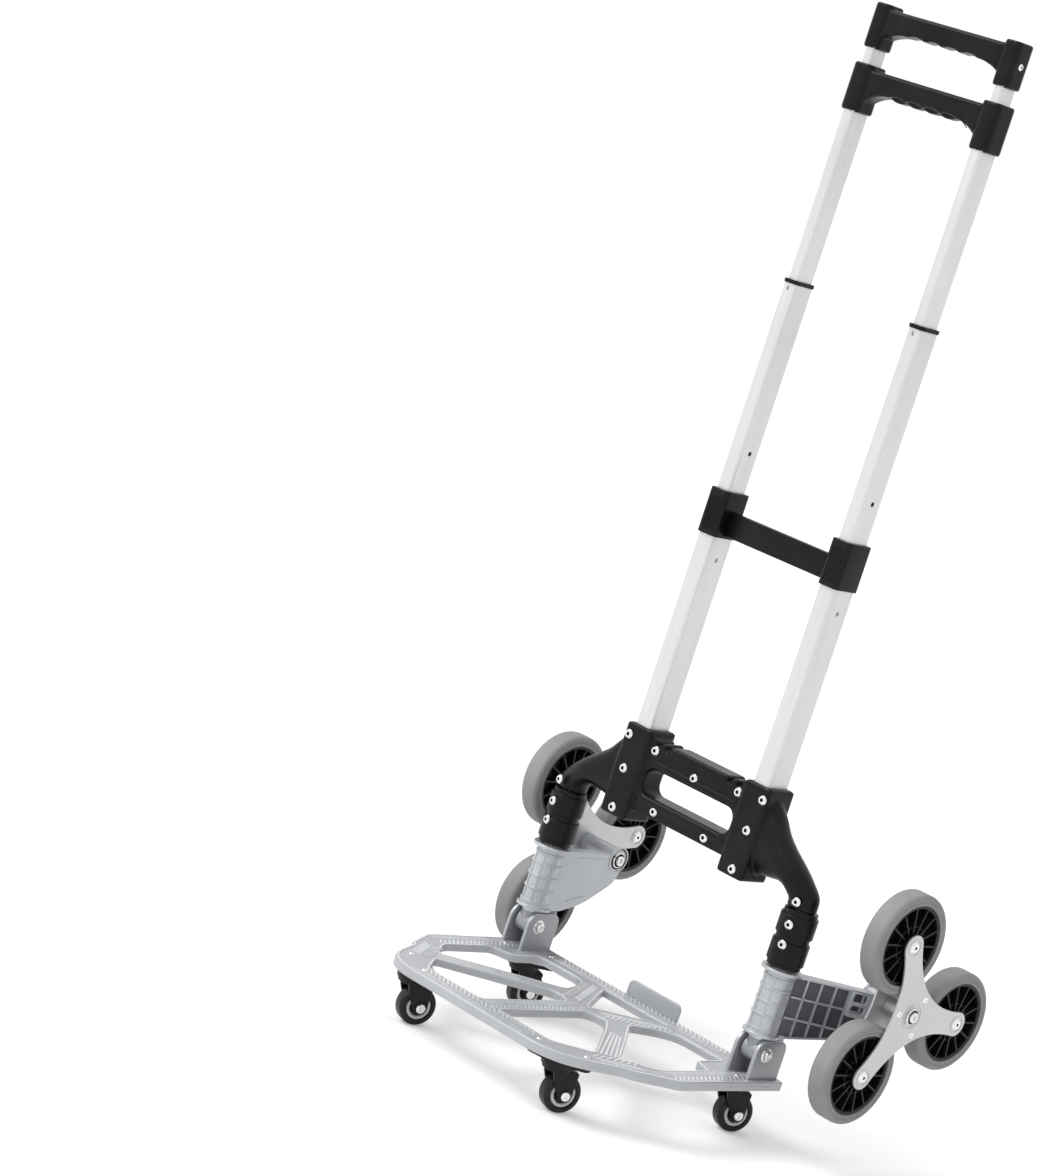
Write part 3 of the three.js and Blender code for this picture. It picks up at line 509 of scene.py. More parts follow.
# blades around a hub
def finTree():
    graph, (geometry, count, inner, outer, thickness, width, material) = startTree(
        "RadialFins", "Count", "Inner", "Outer", "Thickness", "Width", "Material")
    angle = graph.shape("InputIndex") * (2 * pi) / count
    across, along = (angle.combine(part, angle) * ((inner + outer) * 0.5) for part in ("COSINE", "SINE"))
    points = graph.shape("Points", {"Count": count, "Position": graph.vector(across, along)})
    fin = graph.shape("MeshCube", {"Size": graph.vector(outer - inner, thickness, width)})
    turn = graph.add("FunctionNodeAxisAngleToRotation", {"Axis": (0, 0, 1), "Angle": angle})
    fins = graph.shape("InstanceOnPoints", {"Points": points, "Instance": fin, "Rotation": turn})
    return endTree(graph, fins, {"Material": material})


# ribs like a V, one after the other along lines
def chevronTree():
    graph, (lines, pitch, width, sweep, thickness, height, material) = startTree(
        "Chevrons", "Pitch", "Width", "Sweep", "Thickness", "Height", "Material")
    curve = graph.shape("MeshToCurve", {"Mesh": lines})
    spread = graph.shape("ResampleCurve", {"Curve": curve, "Length": pitch}, {"mode": "LENGTH"})
    cosine, sine = (sweep.combine(part, sweep) for part in ("COSINE", "SINE"))
    length = width * 0.5 / cosine
    bar = graph.shape("MeshCube", {"Size": graph.vector(length + thickness * 0.5, thickness, height)})
    join = graph.tree.nodes.new("GeometryNodeJoinGeometry")
    for way in (1, -1):
        graph.feed(join.inputs[0], graph.shape("Transform", {
            "Geometry": bar, "Rotation": graph.vector(z=(sweep + pi / 2) * way),
            "Translation": graph.vector(sine * length * -0.5, cosine * length * (0.5 * way))}))
    tangent = graph.shape("InputTangent")
    turn = graph.add("FunctionNodeAlignRotationToVector", {"Vector": tangent}, {"axis": "X"})
    ribs = graph.shape("InstanceOnPoints", {
        "Points": spread, "Instance": Field(graph, join.outputs[0]), "Rotation": turn})
    return endTree(graph, ribs, {"Material": material})


# ridges with a flat top along lines
def raisedLineTree():
    graph, (lines, width, height, material) = startTree("RaisedLines", "Width", "Height", "Material")
    curve = graph.shape("MeshToCurve", {"Mesh": lines})
    upright = graph.shape("SetCurveNormal", {"Curve": curve}, {"mode": "Z_UP"})
    section = graph.shape("CurvePrimitiveQuadrilateral", {"Width": width, "Height": height})
    raised = graph.shape("CurveToMesh", {"Curve": upright, "Profile Curve": section, "Fill Caps": True})
    return endTree(graph, raised, {"Material": material})


trees = {"screws": screwHeadTree(), "fins": finTree(), "chevrons": chevronTree(), "lines": raisedLineTree()}


def treeMesh(name, mesh, settings, place=Matrix()):
    thing = addObject(name, mesh)
    modifier = thing.modifiers.new(name, "NODES")
    modifier.node_group = trees[name]
    for item in trees[name].interface.items_tree:
        if item.in_out == "INPUT" and item.name in settings:
            modifier[item.identifier] = settings[item.name]
    return placed(evaluated(thing), place)


def paths(lines, closed=False):
    points, edges = [], []
    for line in lines:
        first = len(points)
        points += [(*point, 0)[:3] for point in line]
        edges += [(k, k + 1) for k in range(first, len(points) - 1)]
        if closed:
            edges.append((len(points) - 1, first))
    mesh = bpy.data.meshes.new("paths")
    mesh.from_pydata(points, edges, [])
    return mesh


def raisedLines(lines, width, height, closed=False, place=Matrix()):
    return treeMesh("lines", paths(lines, closed), {
        "Width": width, "Height": height, "Material": finishes["cast"]}, place)


def addScrews(name, body, places, size):
    mesh = bpy.data.meshes.new(name)
    mesh.from_pydata([place for place, facing in places], [], [])
    directions = mesh.attributes.new("facing", "FLOAT_VECTOR", "POINT")
    for value, (place, facing) in zip(directions.data, places):
        value.vector = facing
    heads = treeMesh("screws", mesh, {**size, "Material": finishes["bolt"], "Dark": finishes["socket"]})
    makePiece(name, heads, None, body)


print("trees made:", len(trees))


# telescoping handle

tubeStages = {
    "outer": {"body": "frame", "wall": 1.5, "corner": 3.0, "holes": [(facingX, 525)]},
    "middle": {"body": "middle_stage", "wall": 1.2, "corner": 3.6, "holes": [(facingX, 639), (facingY, 811)]},
    "inner": {"body": "inner_stage", "wall": 1.2, "corner": 3.6, "holes": []},
    "top": {"body": "top_stage", "wall": 1.2, "corner": 3.6, "holes": []},
}
lockHole = {"radius": 2.5, "depth": 24}


def tubeMesh(node, stage):
    low, high = box(node)
    wall, corner = stage["wall"], stage["corner"]
    outline = roundOutline(low.x, high.x, low.y, high.y, corner, 5)
    bore = roundOutline(low.x + wall, high.x - wall, low.y + wall, high.y - wall, corner - wall, 4)
    mesh = slab(outline, [bore], low.z, high.z, 0.3)
    drills = [pipe(0, lockHole["radius"], 0, lockHole["depth"], 24, at((low.x + high.x) / 2, 0, z) @ facing())
              for facing, z in stage["holes"]]
    return carved(mesh, *drills) if drills else mesh


for name, stage in tubeStages.items():
    for side, sign in sides:
        node = f"{name}_tube_{side}"
        makePiece(f"{name}Tube.{side}", tubeMesh(node, stage), "tube", stage["body"],
                  [node], 24)

tubeWidth, tubeDepth = 21, 32
collar = {"wall": 2.4, "groove": 3.4, "grooves": 5, "barHalf": 4.5}


def tubeOutline(x, grown, corner):
    halfWidth, halfDepth = tubeWidth / 2 + grown, tubeDepth / 2 + grown
    return roundOutline(x - halfWidth, x + halfWidth, -halfDepth, halfDepth, corner)


def collarParts():
    low, high = box("collar")
    top, reach, thick = high.z - 3, tubeX - tubeWidth / 2 - 1, collar["barHalf"]
    yield block((-reach, -thick, low.z + 3), (reach, thick, low.z + 29), 1.6)
    for side, sign in sides:
        x = sign * tubeX
        outer = tubeOutline(x, collar["wall"], 5)
        yield slab(outer, [tubeOutline(x, 0.3, 3.2)], low.z, top, 0.5)
        yield slab(outer, [tubeOutline(x, -1.5, 3.6)], top - 0.4, high.z, 1.1)
        half = (collar["grooves"] - 1) / 2
        places = [x + (k - half) * collar["groove"] for k in range(collar["grooves"])]
        strips = [[(place, low.z + 5), (place, top - 5)] for place in places]
        for way in (-1, 1):
            face = facingY(way * (tubeDepth / 2 + collar["wall"] - 0.1))
            yield raisedLines(strips, 1.2, 1.2, place=face)


makePiece("collarBar", joined(*collarParts()), "nylon", "frame", ["collar"])

grips = {
    "lower": {"tube": (16.2, 27.2), "through": (13.2, 24.2), "arch": 12, "body": "inner_stage"},
    "upper": {"tube": (13.2, 24.2), "through": None, "arch": 8, "body": "top_stage"},
    "cap": 5, "barHeight": 22, "barDepth": 24, "drop": 13 / 3, "waves": 4, "waveRise": 4, "voxel": 1.15,
    "screw": {"Radius": 3.4, "Height": 0.9, "Socket": 1.2},
}
lever = {"length": 84, "height": 9, "depth": 12, "waves": 4}


def sectionBlock(size, x, low, high):
    halfWidth, halfDepth = (length / 2 + 0.3 for length in size)
    return block((x - halfWidth, -halfDepth, low), (x + halfWidth, halfDepth, high), 0)


def barOutline(reach, top, bottom, arch):
    points = [(-reach, top), (-reach, bottom - arch)]
    points += curveThrough(points[-1], (-reach * 0.82, bottom), (-reach * 0.6, bottom))
    points += waves(reach * 0.6, grips["waves"], bottom, grips["waveRise"])
    points += curveThrough((reach * 0.6, bottom), (reach * 0.82, bottom), (reach, bottom - arch))
    return [*points, (reach, top)]


def gripMesh(which):
    setup = grips[which]
    low, high = box(f"{which}_grip")
    w, d, half = high.x - tubeX, high.y, grips["barDepth"] / 2
    barTop = high.z - grips["drop"]
    barBottom = barTop - grips["barHeight"]
    outline = barOutline(tubeX - w + 2, barTop, barBottom, setup["arch"])
    parts, bores = [slab(outline, [], -half, half, 4.2, facingY(), 4)], []
    if which == "lower":
        ends, roof = lever["length"] / 2 + 0.3, barBottom + lever["height"] + 5.2
        bores.append(block((-ends, -6.4, barBottom - 20), (ends, 6.4, roof), 0))
    for side, sign in sides:
        x, capLow = sign * tubeX, high.z - grips["cap"]
        parts.append(slab(roundOutline(x - w, x + w, -d, d, 6.5, 8), [], low.z, high.z, 2.2, rounds=4))
        bores.append(sectionBlock(setup["tube"], x, low.z - 1, capLow + 0.3))
        if setup["through"]:
            bores.append(sectionBlock(setup["through"], x, capLow, high.z + 1))
    return carved(moulded(joined(*parts), grips["voxel"], 3), *bores)


def gripSeamMesh(which):
    low, high = box(f"{which}_grip")
    top = high.z - grips["drop"] - grips["barHeight"] + 4.5
    reach = tubeX - (high.x - tubeX) + 2
    points = [(-reach * 0.86, top - grips[which]["arch"] * 0.8)]
    points += curveThrough(points[0], (-reach * 0.7, top), (-reach * 0.45, top + 0.8))
    points += [(-x, z) for x, z in points[::-1]]
    return raisedLines([points], 0.9, 0.5, place=facingY(0.1 - grips["barDepth"] / 2))


for which in ("lower", "upper"):
    body = grips[which]["body"]
    makePiece(f"{which}Grip", gripMesh(which), "nylon", body, [f"{which}_grip"], 50)
    makePiece(f"{which}Seam", gripSeamMesh(which), "nylon", body)
low, high = box("upper_grip")
addScrews("gripScrews", "top_stage",
          [((sign * high.x, 0, (low.z + high.z) / 2), (sign, 0, 0)) for side, sign in sides], grips["screw"])


def leverMesh():
    low, high = box("release_bar")
    half, bottom, thick = lever["length"] / 2, high.z - lever["height"], lever["depth"] / 2
    points = [(-half, high.z), (-half, bottom), *waves(half, lever["waves"], bottom, -5), (half, high.z)]
    return slab(points, [], -thick, thick, 1.4, facingY(), 3)


makePiece("releaseLever", leverMesh(), "nylon", "release", ["release_bar"])
print("handle made")


# carrying casting, legs and clamps

leg = {"radius": 11, "endRadius": 12, "top": 254, "hinge": 91, "seam": 104}
casting = {
    "top": 340, "depth": 40, "bridge": (256, 333), "bridgeDepth": 30, "tab": 242, "socketWall": 7,
    "elbow": 240, "slotFrame": 1.8, "boreFloor": 262, "voxel": 1.7,
    "slot": (62, 276, 304, 11),  # half its length, bottom, top, corner
    "notches": (57, 44, -44, -57), "notchWidth": 6, "notchDepth": 7,
}


# each section: outer x and z, inner x and z, half its depth, how far back it sits
def shoulderSections():
    root, half = tubeX + tubeWidth / 2 + casting["socketWall"], casting["depth"] / 2 - 3
    lower, top, tab = casting["depth"] / 2 - legY, casting["top"], casting["tab"]
    elbow, near, far = casting["elbow"], legX - half, legX + casting["depth"] / 2 - legY
    return [
        (root - 7, top - 6, root - 7, tab + 10, half, 0),
        (root + 8, top - 18, root + 10, tab + 12, half, 0),
        (root + 20, top - 34, root + 24, tab + 14, half, 0),
        (root + 34, top - 46, near - 15, tab + 15, half, 0),
        (legX - 15, top - 57, near - 7, tab + 13, half, 0.2 * legY),
        (legX + 1, top - 70, near - 2, elbow + 10, half - 1, 0.6 * legY),
        (far - 2, elbow + 17, near, elbow + 6, lower, legY),
        (far, elbow + 4, near, elbow + 2, lower, legY),
        (far, elbow, near, elbow, lower, legY)]


# adds sections in between, on a curve through the given ones
def smoothSections(flat, steps=7):
    rings = []
    for k in range(len(flat) - 1):
        p0, p1, p2, p3 = (flat[min(max(k + n, 0), len(flat) - 1)] for n in (-1, 0, 1, 2))
        for t in (step / steps for step in range(steps)):
            rings.append([0.5 * (2 * b + (c - a) * t + (2 * a - 5 * b + 4 * c - d) * t * t
                                 + (3 * b - a - 3 * c + d) * t ** 3) for a, b, c, d in zip(p0, p1, p2, p3)])
    return [*rings, flat[-1]]


def shoulderMesh(sign, segments=48):
    angles = [2 * pi * k / segments for k in range(segments)]
    rings = []
    for x0, z0, x1, z1, depth, shift in smoothSections(shoulderSections()):
        x, z = (x0 + x1) / 2, (z0 + z1) / 2
        rings.append([(sign * (x + (x0 - x) * cos(a)), shift + depth * sin(a),
                       z + (z0 - z) * cos(a)) for a in angles])
    return loft(rings, capped=True)


def castingMesh():
    low, high = casting["bridge"]
    slotHalf, slotLow, slotHigh, slotRadius = casting["slot"]
    depth, thick, notch = casting["depth"] / 2, casting["bridgeDepth"] / 2, casting["notchWidth"] / 2
    proud = thick + casting["slotFrame"]
    edge = [(-tubeX, low), (tubeX, low), (tubeX, high)]
    for centre in casting["notches"]:
        left, right, floor = centre - notch, centre + notch, high - casting["notchDepth"]
        edge += [(right, high), (right, floor), (left, floor), (left, high)]
    slot, frameInner, frameOuter = (
        roundOutline(-slotHalf - out, slotHalf + out, slotLow - out, slotHigh + up, slotRadius + rounder)
        for out, up, rounder in ((0, 0, 0), (3, 3, 3), (8, 7, 6)))
    parts = [slab([*edge, (-tubeX, high)], [slot], -thick, thick, 0.8, facingY()),
             slab(frameOuter, [frameInner], -proud, proud, 0.4, facingY())]
    bores = []
    for side, sign in sides:
        x, half = sign * tubeX, tubeWidth / 2 + casting["socketWall"]
        socket = roundOutline(x - half, x + half, casting["tab"], casting["top"], 3)
        parts.append(slab(socket, [], -depth, depth, 1.6, facingY(), 3))
        parts.append(shoulderMesh(sign))
        bores.append(slab(tubeOutline(x, 0.3, 3), [], casting["boreFloor"], casting["top"] + 4, 0.1))
        bores.append(pipe(0, leg["radius"] + 0.3, casting["elbow"] - 4, leg["top"] + 0.3, 48,
                          at(sign * legX, legY, 0)))
    return carved(moulded(joined(*parts), casting["voxel"], 4), *bores)


makePiece("casting", castingMesh(), "nylon", "frame", ["casting_front", "casting_rear"], 60)


def legMesh(x):
    r, seam, top = leg["radius"], leg["seam"], leg["top"]
    return lathe([(0, seam), (r, seam), (r, top - 0.5), (r - 0.5, top), (0, top)], 64, at(x, legY, 0))


# the end of the leg, which sits between the ears and takes the darker alloy: painted shade
def legEndMesh(x):
    r, hinge, eye, top = leg["radius"], leg["hinge"], leg["endRadius"], leg["seam"] + 0.4
    column = [(0, hinge - r), *arc(0, hinge, r, -pi / 2, pi / 2, 8)[1:], (r, top), (0, top)]
    barrel = bothEnds([(0, 2 - r), (eye - 2.2, 2 - r), (eye - 0.8, 2.6 - r), (eye - 0.6, 4 - r)])
    return joined(lathe(column, 64, at(x, legY, 0)), lathe(barrel, 48, at(x, legY, hinge) @ facingX()))


clamp = {"radius": 18, "bore": 11.3, "bands": [(0.08, 0.46), (0.56, 0.92)], "proud": 1.5}


def clampMesh(node):
    low, high = box(node)
    height, bore = high.z - low.z, clamp["bore"]
    r, proud = clamp["radius"] - 0.5, clamp["radius"] + clamp["proud"]
    profile = [(bore, low.z), (r - 0.6, low.z), (r, low.z + 0.6)]
    for start, end in clamp["bands"]:
        z0, z1 = low.z + start * height, low.z + end * height
        profile += [(r, z0), (proud - 0.5, z0 + 0.2), (proud, z0 + 0.8), (proud, z1 - 0.8),
                    (proud - 0.5, z1 - 0.2), (r, z1)]
    profile += [(r, high.z - 0.5), (r - 0.5, high.z), (bore, high.z)]
    centre = (low + high) / 2
    return lathe(profile, 64, at(centre.x, centre.y, 0))


for side, sign in sides:
    makePiece(f"leg.{side}", legMesh(sign * legX), "tube", "frame", [f"leg_tube_{side}"])
    # the leg end takes the darker alloy: painted shade
    makePiece(f"legEnd.{side}", legEndMesh(sign * legX), "shade", "frame")
    makePiece(f"clamp.{side}", clampMesh(f"clamp_sleeve_{side}"), "nylon", "frame",
              [f"clamp_sleeve_{side}"])

# rivet places: x on the right and z
castingRivet = {
    "size": {"Radius": 5.2, "Height": 1.6, "Socket": 2.3}, "sink": 0.3, "socketFace": -20, "bridgeFace": -15,
    "sockets": [(95, 327), (88, 292), (86, 250)], "bridge": [(59, 322), (36, 264)], "middle": (0, 314),
}
clampRivet = {"size": {"Radius": 4.8, "Height": 1.5, "Socket": 2.1}, "turn": 12,
              "places": ((225, 19.3), (204, 19.3), (249, 19.6))}  # height, distance from the leg's middle
frontRivets = [(sign * x, castingRivet[face], z)
               for group, face in (("sockets", "socketFace"), ("bridge", "bridgeFace"))
               for x, z in castingRivet[group] for side, sign in sides]
frontRivets.append((castingRivet["middle"][0], castingRivet["bridgeFace"], castingRivet["middle"][1]))
addScrews("castingRivets", "frame", [((x, way * (y + castingRivet["sink"]), z), (0, -way, 0))
                                     for way in (1, -1) for x, y, z in frontRivets], castingRivet["size"])
clampRivets = []
for side, sign in sides:
    for z, reach in clampRivet["places"]:
        angle = radians(-90 + sign * clampRivet["turn"])
        out = Vector((cos(angle), sin(angle), 0))
        clampRivets.append((Vector((sign * legX, legY, z)) + out * reach, out))
addScrews("clampRivets", "frame", clampRivets, clampRivet["size"])
print("casting and legs made")


# toe plate

plate = {
    "top": 64, "thickness": 4, "deep": 5, "rim": 4, "rear": 41, "wall": legY + leg["endRadius"] + 3,
    "ear": {"thickness": 4, "front": 16, "rear": 30, "corner": 12, "top": 105.5},
    "cam": {"radius": 37.5, "thickness": 9}, "flap": {"width": 74, "height": 18, "thickness": 4, "corner": 7},
    "ribs": [((0, -234), (0, -72)), ((129, -171), (68, -90)), ((22, -60), (60, 22))],  # underneath
}


def mirrored(points):
    return [(-x, y, r) for x, y, r in points][::-1]


# corners on the right: x, y and how far the rounding reaches
rim = [(187, 41, 4), (187, -118, 8), (163, -163, 5), (156, -168, 5), (136, -210, 14), (121, -228, 14),
       (97, -238, 12)]
frontWindow = [(14, -207, 5), (90, -207, 6), (116, -172, 6), (56, -94, 20), (34, -70, 10), (14, -78, 10)]
sideWindow = [(133, -152, 8), (158, -120, 10), (158, -48, 6), (133, -38, 8), (133, 4, 10), (74, 4, 10),
              (60, -12, 10), (48, -46, 6), (84, -90, 20)]
rim += mirrored(rim)
windows = [frontWindow, mirrored(frontWindow), sideWindow, mirrored(sideWindow),
           [(-46, 14, 5), (46, 14, 5), (0, -60, 6)]]
# casters: place, x and y on the right, turn of the mount
mounts = [("front", 106, -208, 28), ("back", 153, 4, -47)]


# moves an outline's edges outwards, and its rounded corners with them
def grow(corners, distance):
    ordered = corners if windingArea(corners) > 0 else corners[::-1]
    result = []
    for k, (x, y, radius) in enumerate(ordered):
        here = Vector((x, y))
        behind = here - Vector(ordered[k - 1][:2])
        ahead = Vector(ordered[(k + 1) % len(ordered)][:2]) - here
        first, second = (Vector((step.y, -step.x)).normalized() for step in (behind, ahead))
        mitre = (first + second) / max(1 + first.dot(second), 0.5)
        turn = 1 if behind.cross(ahead) > 0 else -1
        result.append((*(here + mitre * distance), max(radius + turn * distance, 1.5)))
    return result


# outline of a caster mount
def lozenge(x, y, degrees):
    half, wide, end = 33, 18, 9
    points = [(half, -end), (half, end), (end, wide), (-end, wide)]
    points += [(-u, -v) for u, v in points]
    across, along = cos(radians(degrees)), sin(radians(degrees))
    return softOutline([(x + u * across - v * along, y + u * along + v * across) for u, v in points], 7)


def earOutline():
    ear, hinge = plate["ear"], leg["hinge"]
    front, top, corner, rear = ear["front"], ear["top"], ear["corner"], legY + ear["rear"]
    return [(legY - front, 60), *arc(legY, hinge, front, pi, -asin((top - hinge) / front), 8),
            (rear - corner, top), *curveThrough((rear - corner, top), (rear, top), (rear, top - corner)),
            (rear, 58)]


def camOutline(front, radius):
    top, low = plate["ear"]["top"], -0.5
    rise = asin((top - leg["hinge"]) / radius) - low
    return [(front, 58), (plate["rear"] - 1, 58), *arc(legY, leg["hinge"], radius, low, rise, 12),
            (front, top - 3)]


def toePlateParts():
    top, under = plate["top"], plate["top"] - plate["thickness"]
    low, edge = under - plate["deep"], softOutline(rim, 5)
    yield slab(edge, [softOutline(window, 6) for window in windows], under, top, 0.7, rounds=3)
    yield slab(edge, [softOutline(grow(rim, -plate["rim"]), 5)], low, under + 0.6, 0.4)
    for window in windows:
        outer, inner = (softOutline(grow(window, distance), 6) for distance in (3.2, 0.35))
        yield slab(outer, [inner], low + 1.5, under + 0.6, 0.3)
    for start, end in plate["ribs"]:
        for sign in (-1, 1) if start[0] else (1,):
            step = Vector(end) - Vector(start)
            place = at(sign * start[0], start[1], 0) @ Matrix.Rotation(atan2(step.y, sign * step.x), 4, "Z")
            yield block((0, -2, low + 0.5), (step.length, 2, under + 0.5), 0.3, place)
    flap, wide = plate["flap"], plate["flap"]["width"] / 2
    back = roundOutline(-wide, wide, under, top + flap["height"], flap["corner"], 8)
    yield slab(back, [], -plate["rear"], flap["thickness"] - plate["rear"], 0.7, facingY())
    for side, sign in sides:
        for name, x, y, angle in mounts:
            yield slab(lozenge(sign * x, y, sign * angle), [], low, under + 0.6, 0.5)
        x, thick, inner = sign * legX, plate["ear"]["thickness"], leg["radius"] + 0.3
        hole = ringOutline(legY, leg["hinge"], 4.3)
        for start in (x - inner - thick, x + inner):
            yield slab(earOutline(), [hole], start, start + thick, 0.9, facingX(), 3)
        wall = plate["wall"]
        yield block((x - inner - 1, wall, 59), (x + inner + 1, wall + 4, 101), 0.6)


def camParts():
    half, radius = plate["cam"]["thickness"] / 2, plate["cam"]["radius"]
    for side, sign in sides:
        for width, size in ((half, radius), (half + 3, radius - 4)):
            x = sign * legX
            yield slab(camOutline(plate["wall"], size), [], x - width, x + width, 1.0, facingX(), 3)


# thin sheets on the outer faces of the ears, in the darker alloy: painted shade
def earShadeSheetParts():
    centreY, centreZ = legY + 7, 84
    reach = leg["radius"] + 0.3 + plate["ear"]["thickness"]
    inset = [(centreY + (y - centreY) * 0.93, centreZ + (z - centreZ) * 0.94) for y, z in earOutline()]
    for side, sign in sides:
        for way in (-1, 1):
            near = sign * legX + way * reach
            yield slab(inset, [], *sorted((near - way * 0.2, near + way * 0.25)), 0.1, facingX(), 1)


makePiece("toePlate", joined(*toePlateParts()), "plate", "folding_plate", ["toe_plate"])
# the ear sheets and the cams take the darker alloy: painted shade
makePiece("earPaintedShade", joined(*earShadeSheetParts()), "shade", "folding_plate")
makePiece("cams", joined(*camParts()), "shade", "folding_plate")

# stripes run along the diagonal bars at these shares of their width, which is given at both ends;
# chevrons follow a line from start to end
tread = {
    "height": 0.6, "edge": 1.6, "stripe": 1.9, "rib": 1.8, "shares": (0.22, 0.41, 0.6, 0.79),
    "ends": (((116, -172), (133, -152)), ((62, -96), (82, -92))),
    "chevrons": [
        ((172, -112), (172, 24), {"Width": 20, "Pitch": 6.2, "Sweep": 0.75}),
        ((26, -54), (60, 8), {"Width": 18, "Pitch": 5.8, "Sweep": 0.8}),
        ((148, -150), (126, -186), {"Width": 19, "Pitch": 6.2, "Sweep": 0.8}),
        ((-118, 27), (118, 27), {"Width": 20, "Pitch": 6.2, "Sweep": 0.8}),
        ((-78, -222), (78, -222), {"Width": 22, "Pitch": 6.2, "Sweep": 0.8}),
        ((0, -202), (0, -66), {"Width": 20, "Pitch": 5.8, "Sweep": 0.85}),
    ],
}


def treadParts():
    height, level = tread["height"] + 0.4, at(0, 0, plate["top"] + tread["height"] / 2 - 0.2)
    edges = [softOutline(grow(window, 2.0), 6) for window in windows]
    edges.append(softOutline(grow(rim, -2.4), 5))
    stripes = [[tuple(a + (b - a) * share for a, b in zip(*ends)) for ends in tread["ends"]]
               for share in tread["shares"]]
    stripes += [[(-x, y) for x, y in line] for line in stripes]
    yield raisedLines(edges, tread["edge"], height, True, level)
    yield raisedLines(stripes, tread["stripe"], height, place=level)
    for start, end, sizes in tread["chevrons"]:
        lines = [[(way * x, y) for x, y in (start, end)] for way in ((-1, 1) if start[0] > 0 else (1,))]
        yield treeMesh("chevrons", paths(lines), {
            **sizes, "Thickness": tread["rib"], "Height": height, "Material": finishes["ridge"]}, level)


# the tread ribs are lighter than the plate: painted highlight
makePiece("treadRibs", joined(*treadParts()), "ridge", "folding_plate")
print("toe plate made")


# wheel arms

arm = {
    "wall": 6, "reach": 92, "end": 8, "tipDepth": 24, "hub": 171, "sleeveWall": 4, "boss": 11.5, "bore": 5.3,
    "low": 108, "high": 178, "flange": 7,
    "place": {"left": {"leg": -12, "hub": -12, "boss": -15}, "right": {"leg": 0, "hub": 54, "boss": 42}},
    "rib": {"height": 3.2, "width": 1.9, "first": 29, "pitch": 15.5, "rows": (131, 153)}, "bend": 36,
    "rings": ((7, 1.2), (22, 1.5), (36, 1.5), (50, 1.5), (61, 1.2)),  # height on the sleeve, how proud
    "starOffset": {"left": 35, "right": 70.5},
}
star = {"pitch": 31, "plate": 2.5, "radius": 80, "end": 13, "waist": 8, "turn": {"left": 8, "right": -5},
        "head": {"Radius": 6.4, "Height": 1.5, "Socket": 1.9}, "rivetRadius": 22,
        "rivet": {"Radius": 3.7, "Height": 1.3, "Socket": 0.8}}
hubY = legY + arm["reach"]


def outwards(sign, near, far, start=legX):
    return sorted((sign * (start + near), sign * (start + far)))


def sleeveMesh(x):
    low, high, r = arm["low"], arm["high"], leg["radius"] + 0.3
    outer = r + arm["sleeveWall"]
    profile = [(r, low), (outer + 3.0, low), (outer + 3.5, low + 0.5), (outer + 3.5, low + 2.5),
               (outer + 3.0, low + 3), (outer + 0.4, low + 3.2)]
    for rise, proud in arm["rings"]:
        z = low + rise
        profile += [(outer, z - 1.5), (outer + proud, z - 0.7), (outer + proud, z + 0.7), (outer, z + 1.5)]
    profile += [(outer, high - 4.6), (outer + 1.6, high - 3.6), (outer + 5.4, high - 3.4),
                (outer + 6, high - 2.8), (outer + 6, high - 0.6), (outer + 5.4, high), (r, high)]
    place = at(x, legY, 0)
    strips = [block((outer - 0.8, -0.6, low + 4), (outer + 0.7, 0.6, high - 5), 0,
                    place @ turned(22.5 + 45 * k)) for k in range(8)]
    return joined(lathe(profile, 72, place), *strips)


# length from leg to hub, and the angle by which the arm slants outwards
def armRun(side):
    place = arm["place"][side]
    rise = place["hub"] - place["leg"]
    return hypot(arm["reach"], rise), atan2(rise, arm["reach"])


# the arm's own frame, with y from the leg to the hub
def armFrame(side, sign):
    start = sign * (legX + arm["place"][side]["leg"])
    return at(start, legY, 0) @ Matrix.Rotation(-sign * armRun(side)[1], 4, "Z")


def armFace(length, grown=0.0):
    low, high, tip = arm["low"] + 1 - grown, arm["high"] - 1.5 + grown, length + arm["end"] + grown
    return softOutline([(4, low), (4, high), (tip, high, 8), (tip, arm["hub"] - arm["tipDepth"] - grown, 14),
                        (length - arm["bend"], low + 9, 14), (24, low, 6)], 3, 8)


# height of the arm's lower edge
def lowerEdge(length, distance):
    bend, start = length - arm["bend"], arm["low"] + 1
    if distance < bend:
        return start + 9 * max(0, distance - 24) / (bend - 24)
    rise = arm["hub"] - arm["tipDepth"] - start - 9
    return start + 9 + rise * (distance - bend) / (arm["bend"] + arm["end"])


def armMesh(side, sign):
    length, stand, half = armRun(side)[0], armFrame(side, sign), arm["wall"] / 2
    hub, rib, wall = arm["hub"], arm["rib"], stand @ facingX()
    stop, top, tip = length + arm["end"] - 4, arm["high"] - 4.5, hub - arm["tipDepth"] + 6
    lines = [[(16, z), (length - (8 if z > 140 else 26), z)] for z in rib["rows"]]
    distance = rib["first"]
    while distance < length - 14:
        lines.append([(distance, lowerEdge(length, distance) + 3.4), (distance, top)])
        distance += rib["pitch"]
    lines.append([(24, arm["low"] + 2.5), (length - 38, arm["low"] + 11.5), (stop, tip)])
    lines.append([(stop, tip), (stop, top)])
    shelf = outwards(sign, -1, arm["flange"], half)
    near, far = outwards(sign, arm["place"][side]["boss"], arm["starOffset"][side] - 0.3)
    r, bore = arm["boss"], arm["bore"]
    boss = [(bore, near), (r - 0.8, near), (r, near + 0.8), (r, far - 0.8), (r - 0.8, far), (bore, far)]
    bracket = roundOutline(length - 31, length + 7, hub - 23, hub + 5.2, 2.5)
    openings = [roundOutline(length - 27, length - 13, hub + low, hub + high, 2)
                for low, high in ((-19, -11), (-7, 1.5))]
    return joined(
        sleeveMesh(sign * legX),
        slab(armFace(length), [], -half, half, 0.9, wall, 3),
        raisedLines(lines, rib["width"], 2 * rib["height"], place=stand @ facingX(sign * half)),
        block((shelf[0], 14, arm["high"] - 4.4), (shelf[1], length, arm["high"] - 1.6), 0.8, stand),
        lathe(boss, 56, at(0, hubY, hub) @ facingX()),
        slab(bracket, openings, *outwards(sign, -1, 7, half), 0.5, wall))
